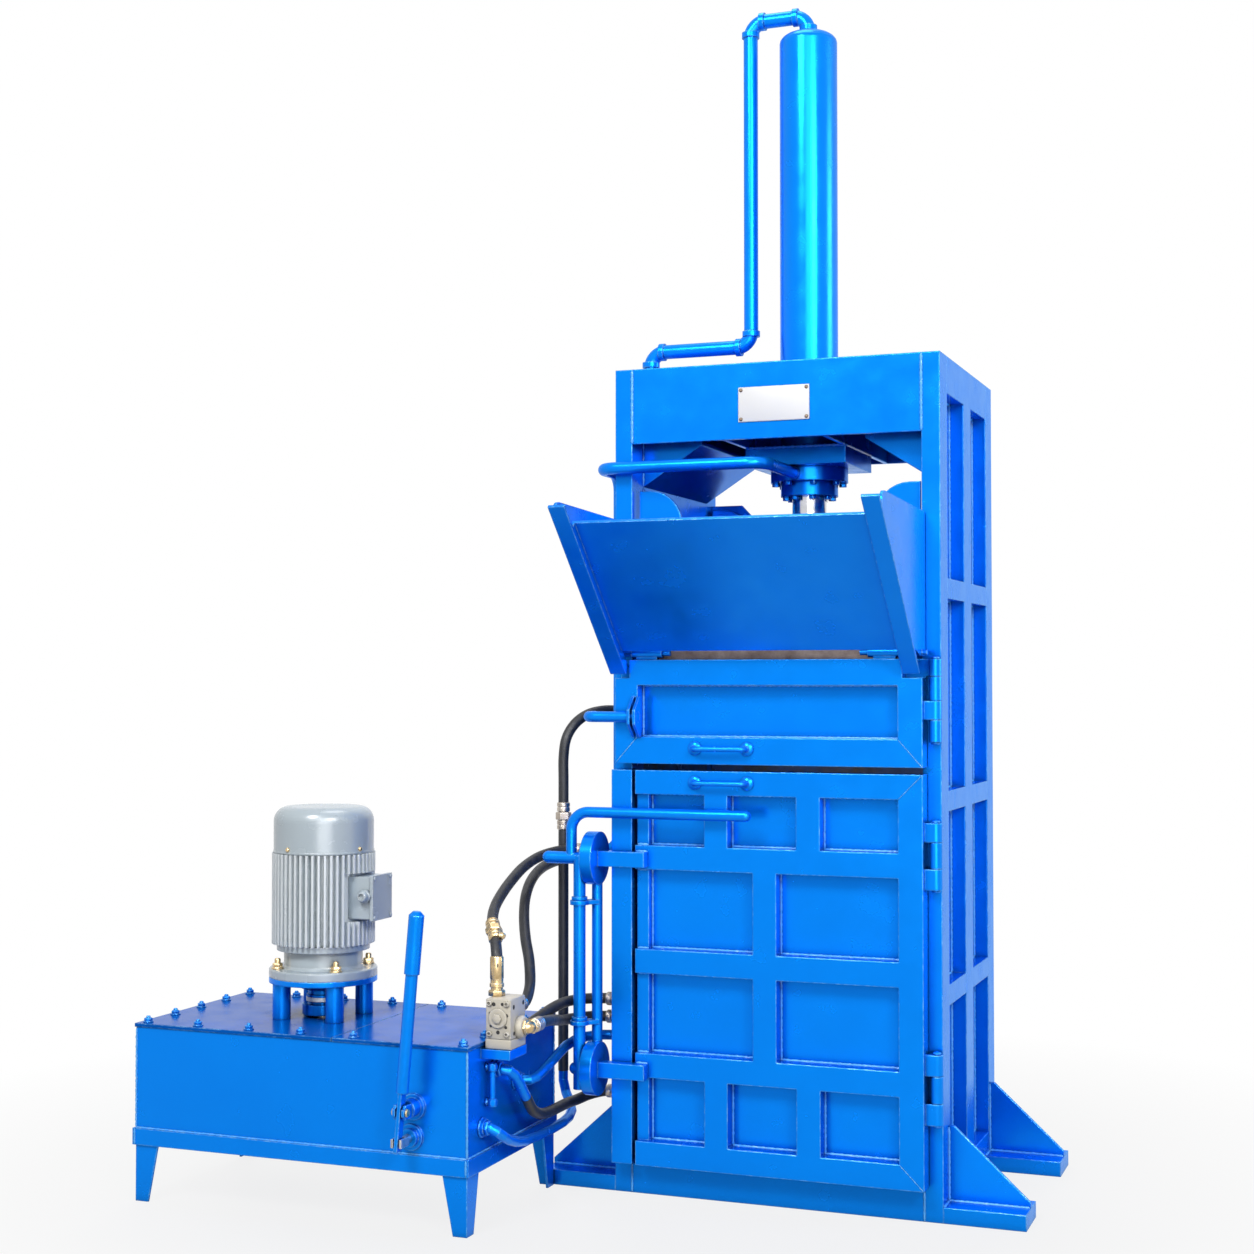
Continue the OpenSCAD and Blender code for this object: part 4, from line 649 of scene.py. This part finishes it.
MX, MY = -1228, -650  # the motor's axis
STAND_TOP, SHIELD_TOP, MOTOR_TOP = 596, 688, 939
FLANGE_T, BOLT_RING = 24, 130
COWL_R = 0.1385
flange_bolts = Piece()
for k in range(4):
    a = math.radians(45 + 90 * k)
    at = mm(MX + BOLT_RING * math.cos(a), MY + BOLT_RING * math.sin(a), STAND_TOP + FLANGE_T)
    flange_bolts.lathe([(0.017, 0), (0.017, 0.003), (0.016, 0.004)], at, UP, 24)
    flange_bolts.hexagon(at + mm(0, 0, 4), UP, 0.0145, 0.012, k * 0.4)
    flange_bolts.lathe([(0.0085, 0), (0.0085, 0.010), (0.0065, 0.013)], at + mm(0, 0, 16),
                       UP, 16)
flange_bolts.finish("motor_flange_bolts", brass, "frame")
cowl_screws = Piece()
for k in range(4):
    a = math.radians(-15 + 90 * k)
    out = Vector((math.cos(a), math.sin(a), 0))
    at = mm(MX, MY, MOTOR_TOP + 14) + out * COWL_R
    cowl_screws.lathe([(0.0065, 0), (0.0065, 0.002), (0.005, 0.0045), (0.002, 0.0055)],
                      at, out, 16)
cowl_screws.finish("cowl_screws", brass, "frame")
cowl_trim = Piece()
cowl_trim.lathe([(0.1392, 0), (0.1402, 0.001), (0.1402, 0.006), (0.1392, 0.007)],
                mm(MX, MY, MOTOR_TOP + 1), UP, 72)
cowl_trim.finish("cowl_rim", grey, "frame")

ring = Piece()
ring.lathe([(0.0425, 0), (0.0472, 0.0015), (0.0472, 0.0125), (0.0425, 0.014)],
           mm(MX, MY, 525), UP, 48)
ring.finish("coupling_ring", plate_metal, "rotor")

# Terminal box: lid screws and cable gland
BOX_X = MX + 143 + 42
box_trim = Piece()
for y in (-46, 46):
    for z in (SHIELD_TOP + 78, SHIELD_TOP + 186):
        box_trim.lathe([(0.006, 0), (0.006, 0.002), (0.004, 0.004)], mm(BOX_X, MY + y, z),
                       RIGHT, 12)
gland = mm(MX + 160, MY - 51, SHIELD_TOP + 138)
box_trim.hexagon(gland, FORWARD, 0.020, 0.012)
box_trim.lathe([(0.0155, 0.012), (0.0155, 0.020), (0.0125, 0.026), (0.008, 0.027),
                (0.008, 0.022)], gland, FORWARD, 24)
box_trim.finish("terminal_box_fittings", grey, "frame")


# Tank lid: hexagon bolts in place of the plain ones

BOLT_IN, LID_TOP = 22, 482
ROW_X, ROW_Y = TX1 - TX0 - 2 * BOLT_IN, TY1 - TY0 - 2 * BOLT_IN
CORNER_X, CORNER_Y = TX0 + BOLT_IN, TY0 + BOLT_IN
spots = [(CORNER_X + ROW_X * i / 6, CORNER_Y + side * ROW_Y) for i in range(7) for side in (0, 1)]
spots += [(CORNER_X + side * ROW_X, CORNER_Y + ROW_Y * i / 4) for i in (1, 2, 3) for side in (0, 1)]
bolts = Piece()
for i, (x, y) in enumerate(spots):
    bolts.lathe([(0.014, 0), (0.014, 0.0025), (0.013, 0.003)], mm(x, y, LID_TOP), UP, 20)
    bolts.hexagon(mm(x, y, LID_TOP + 3), UP, 0.0115, 0.009, i * 0.7)
    bolts.lathe([(0.006, 0), (0.006, 0.004), (0.0045, 0.0055)], mm(x, y, LID_TOP + 12), UP, 14)
lid_bolts = bolts.finish("lid_hex_bolts", blue, "frame")
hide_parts("lid_bolts")


# Valve block: a cast body with a plug, bolts and bosses

BX, BY, BZ = -635, -850, 465  # the block's low corner
BLOCK_W, BLOCK_L, BASE_T, BLOCK_H = 73, 95, 26, 130
valve = Piece()
valve.block(mm(BX, BY, BZ), mm(BX + BLOCK_W, BY + BLOCK_L, BZ + BASE_T), 0.003)
valve.block(mm(BX + 1, BY + 1, BZ + BASE_T),
            mm(BX + BLOCK_W - 1, BY + BLOCK_L - 1, BZ + BLOCK_H), 0.004)
valve.lathe([(0.026, 0), (0.026, 0.002), (0.024, 0.004)], mm(BX + 36, BY, BZ + 80),
            FORWARD, 32)
valve.hexagon(mm(BX + 36, BY - 4, BZ + 80), FORWARD, 0.013, 0.006)
for x in (12, 61):
    for z in (40, 118):
        valve.lathe([(0.0075, 0), (0.0075, 0.004), (0.006, 0.006), (0.0038, 0.006),
                     (0.0036, 0.002), (0.0005, 0.002)], mm(BX + x, BY + 1, BZ + z), FORWARD, 18)
valve.lathe([(0.030, 0), (0.030, 0.008), (0.026, 0.016), (0.021, 0.018)],
            mm(BX + BLOCK_W - 1, BY + 55, BZ + 52), RIGHT, 32)
HOLE_T = 0.0006  # thickness of the dark discs, painted shade in the open ports
hole_shade_discs = Piece()
for x, z, r in ((24, 116, 5), (48, 117, 4), (14, 92, 4), (60, 88, 5), (16, 60, 4), (58, 58, 4),
                (36, 44, 5)):
    hole_shade_discs.lathe([(r / 1000, 0), (r / 1000, HOLE_T), (0, HOLE_T)],
                mm(BX + x, BY + 1, BZ + z), FORWARD, 18)
for y, z, r in ((20, 108, 6), (80, 112, 6), (22, 40, 5), (84, 44, 5)):
    hole_shade_discs.lathe([(r / 1000, 0), (r / 1000, HOLE_T), (0, HOLE_T)],
                mm(BX + BLOCK_W - 1, BY + y, BZ + z), RIGHT, 18)
hole_shade_discs.finish("valve_port_shade", hole_shade, "frame")
valve_piece = valve.finish("valve_casting", cast, "frame", 35)
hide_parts("valve_block")


# Brass unions between the valve, the press and the hoses

def union(piece, base, tip, nut):
    """A union between two points: a hexagon at the base and turned steps to the tip."""
    base, tip = Vector(base), Vector(tip)
    axis = (tip - base).normalized()
    span = (tip - base).length
    piece.hexagon(base, axis, nut, span * 0.35)
    r = HOSE_R
    piece.lathe([(r + 0.001, span * 0.35), (r + 0.001, span * 0.50), (r + 0.004, span * 0.52),
                 (r + 0.004, span * 0.72), (r + 0.002, span * 0.74), (r + 0.002, span)],
                base, axis, 28)


NUT, BIG_NUT = 0.020, 0.022
fit = Piece()
union(fit, mm(-625, -800, 595), mm(-625, -800, 640), BIG_NUT)
fit.lathe([(HOSE_R + 0.0018, 0), (HOSE_R + 0.0030, 0.002), (HOSE_R + 0.0030, 0.056),
           (HOSE_R + 0.0012, 0.060)], mm(-625, -800, 638), UP, 28)
union(fit, mm(-602, -755, 560), mm(-602, -725, 560), NUT)
union(fit, mm(-602, -755, 495), mm(-602, -725, 495), NUT)
fit.tube([mm(-546, -795, 517), mm(-541, -795, 517), mm(-537, -793, 517), mm(-535, -789, 517),
          mm(-535, -784, 517), mm(-535, -780, 517)], HOSE_R + 0.001, 24)
fit.hexagon(mm(-548, -795, 517), RIGHT, BIG_NUT, 0.010)
union(fit, mm(-535, -784, 517), mm(-535, -765, 517), NUT)
for name in ("hose_supply", "hose_drain", "hose_low"):
    end = cords[name][-1]
    union(fit, (-0.460, end.y, end.z), end, NUT)
fit_piece = fit.finish("brass_unions", brass, "frame")
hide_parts("brass_fittings")


# Ports and gauge on the tank's right side

ports = Piece()
for y, z in ((TY0 + 160, 400), (TY0 + 295, 345), (TY0 + 85, 262)):
    ports.lathe([(0.026, 0), (0.026, 0.004), (0.0235, 0.006), (0.0225, 0.006)],
                mm(TX1 + 0.2, y, z), RIGHT, 28)
    ports.hexagon(mm(TX1 + 14, y, z), RIGHT, 0.020, 0.010)
ports.finish("tank_port_nuts", blue, "frame")

GAUGE_Y = TY0 + 113
gauge = Piece()
for z in (322, 414):
    gauge.hexagon(mm(TX1, GAUGE_Y, z), RIGHT, 0.012, 0.007)
    gauge.lathe([(0.0135, -0.006), (0.0135, 0.006)], mm(TX1 + 18, GAUGE_Y, z), UP, 6)
gauge.finish("gauge_nuts", blue, "frame")


# Lever: the heads of its pin

pins = Piece()
for side in (-1, 1):
    pins.lathe([(0.011, 0), (0.011, 0.003), (0.009, 0.005)], mm(-797 + side * 17.2, -1008, 321),
               (side, 0, 0), 20)
pins.finish("lever_pin_heads", brass, "frame")


# Handle washers

for name, z, body in (("upper_handle_washers", 1233, "upper_door"),
                      ("lower_handle_washers", 1140, "lower_door")):
    washers = Piece()
    for x in (-204, -56):
        washers.lathe([(0.019, 0), (0.019, 0.004), (0.016, 0.007), (0.009, 0.009),
                       (0.0075, 0.016)], mm(x, DOOR_FRONT, z), FORWARD, 28)
    washers.finish(name, blue, body)


# Floor, light and background

FLOOR_GREY = 0.28
FLOOR_WHITE = (0.84, 1.0)  # how white the floor looks near the machine and far from it
FADE = (1.0, 2.8)  # where that change begins and ends
FLOOR_HALF = 60
WORLD_LIGHT = 0.07


def seen_as_background(tree):
    """1 for the rays that show the background: camera, glossy and transmission rays."""
    path = add(tree, "ShaderNodeLightPath")
    mirrored = maths(tree, "MAXIMUM", path.outputs["Is Glossy Ray"],
                     path.outputs["Is Transmission Ray"])
    return maths(tree, "MAXIMUM", path.outputs["Is Camera Ray"], mirrored)


def floor_material():
    """Pale floor that keeps the shadow near the machine and fades to white further out."""
    material, tree, shader = new_material("floor")
    links = tree.links
    shader.inputs["Base Color"].default_value = (FLOOR_GREY, FLOOR_GREY, FLOOR_GREY, 1)
    shader.inputs["Roughness"].default_value = 0.6
    white = add(tree, "ShaderNodeEmission")
    white.inputs["Strength"].default_value = 1.0
    coords = add(tree, "ShaderNodeTexCoord")
    distance = add(tree, "ShaderNodeVectorMath", operation="LENGTH")
    links.new(coords.outputs["Object"], distance.inputs[0])
    far = remap(tree, distance.outputs["Value"], *FADE, *FLOOR_WHITE)
    blend = add(tree, "ShaderNodeMixShader")
    links.new(maths(tree, "MULTIPLY", far, seen_as_background(tree)), blend.inputs[0])
    links.new(shader.outputs[0], blend.inputs[1])
    links.new(white.outputs[0], blend.inputs[2])
    links.new(blend.outputs[0], tree.nodes["Material Output"].inputs["Surface"])
    return material


floor_mesh = bpy.data.meshes.new("floor")
floor_mesh.from_pydata([(x * FLOOR_HALF, y * FLOOR_HALF, 0)
                        for x, y in ((-1, -1), (1, -1), (1, 1), (-1, 1))], [], [(0, 1, 2, 3)])
floor_mesh.materials.append(floor_material())
floor = bpy.data.objects.new("floor", floor_mesh)
floor.location = (-0.4, -0.3, -0.0005)
scene.collection.objects.link(floor)

world = bpy.data.worlds.new("world")
scene.world = world
world.use_nodes = True
tree = world.node_tree
background = tree.nodes["Background"]
background.inputs["Color"].default_value = (*WHITE, 1)
tree.links.new(remap(tree, seen_as_background(tree), 0.0, 1.0, WORLD_LIGHT, 1.0),
               background.inputs["Strength"])


def area_light(name, place, aim, size, power):
    """A soft lamp at a place, turned to what it lights."""
    data = bpy.data.lights.new(name, "AREA")
    data.shape = "RECTANGLE"
    data.size, data.size_y = size
    data.energy = power
    lamp = bpy.data.objects.new(name, data)
    lamp.location = place
    lamp.rotation_euler = (Vector(aim) - Vector(place)).to_track_quat("-Z", "Y").to_euler()
    scene.collection.objects.link(lamp)
    return lamp


area_light("key", (-1.4, -5.8, 5.9), (-0.3, -0.4, 1.3), (2.0, 2.0), 340)
area_light("side", (3.9, -5.2, 4.2), (0.2, -0.2, 1.2), (1.6, 1.6), 215)
area_light("fill", (5.4, 1.6, 2.8), (0.2, 0.0, 1.2), (2.2, 3.5), 150)
area_light("top", (-0.6, 0.6, 6.5), (-0.6, -0.3, 0.0), (2.0, 2.0), 60)
# A soft lamp for the back, seen by no camera and no mirror
back = area_light("back", (-2.6, 5.4, 4.4), (-0.2, 0.0, 1.2), (2.4, 2.4), 240)
back.visible_camera = False
back.visible_glossy = False
# A tall screen that only makes the highlights along tubes and round parts
screen = area_light("screen", (2.2, -6.2, 3.1), (0.0, 0.0, 3.1), (3.6, 6.2), 320)
screen.visible_diffuse = False
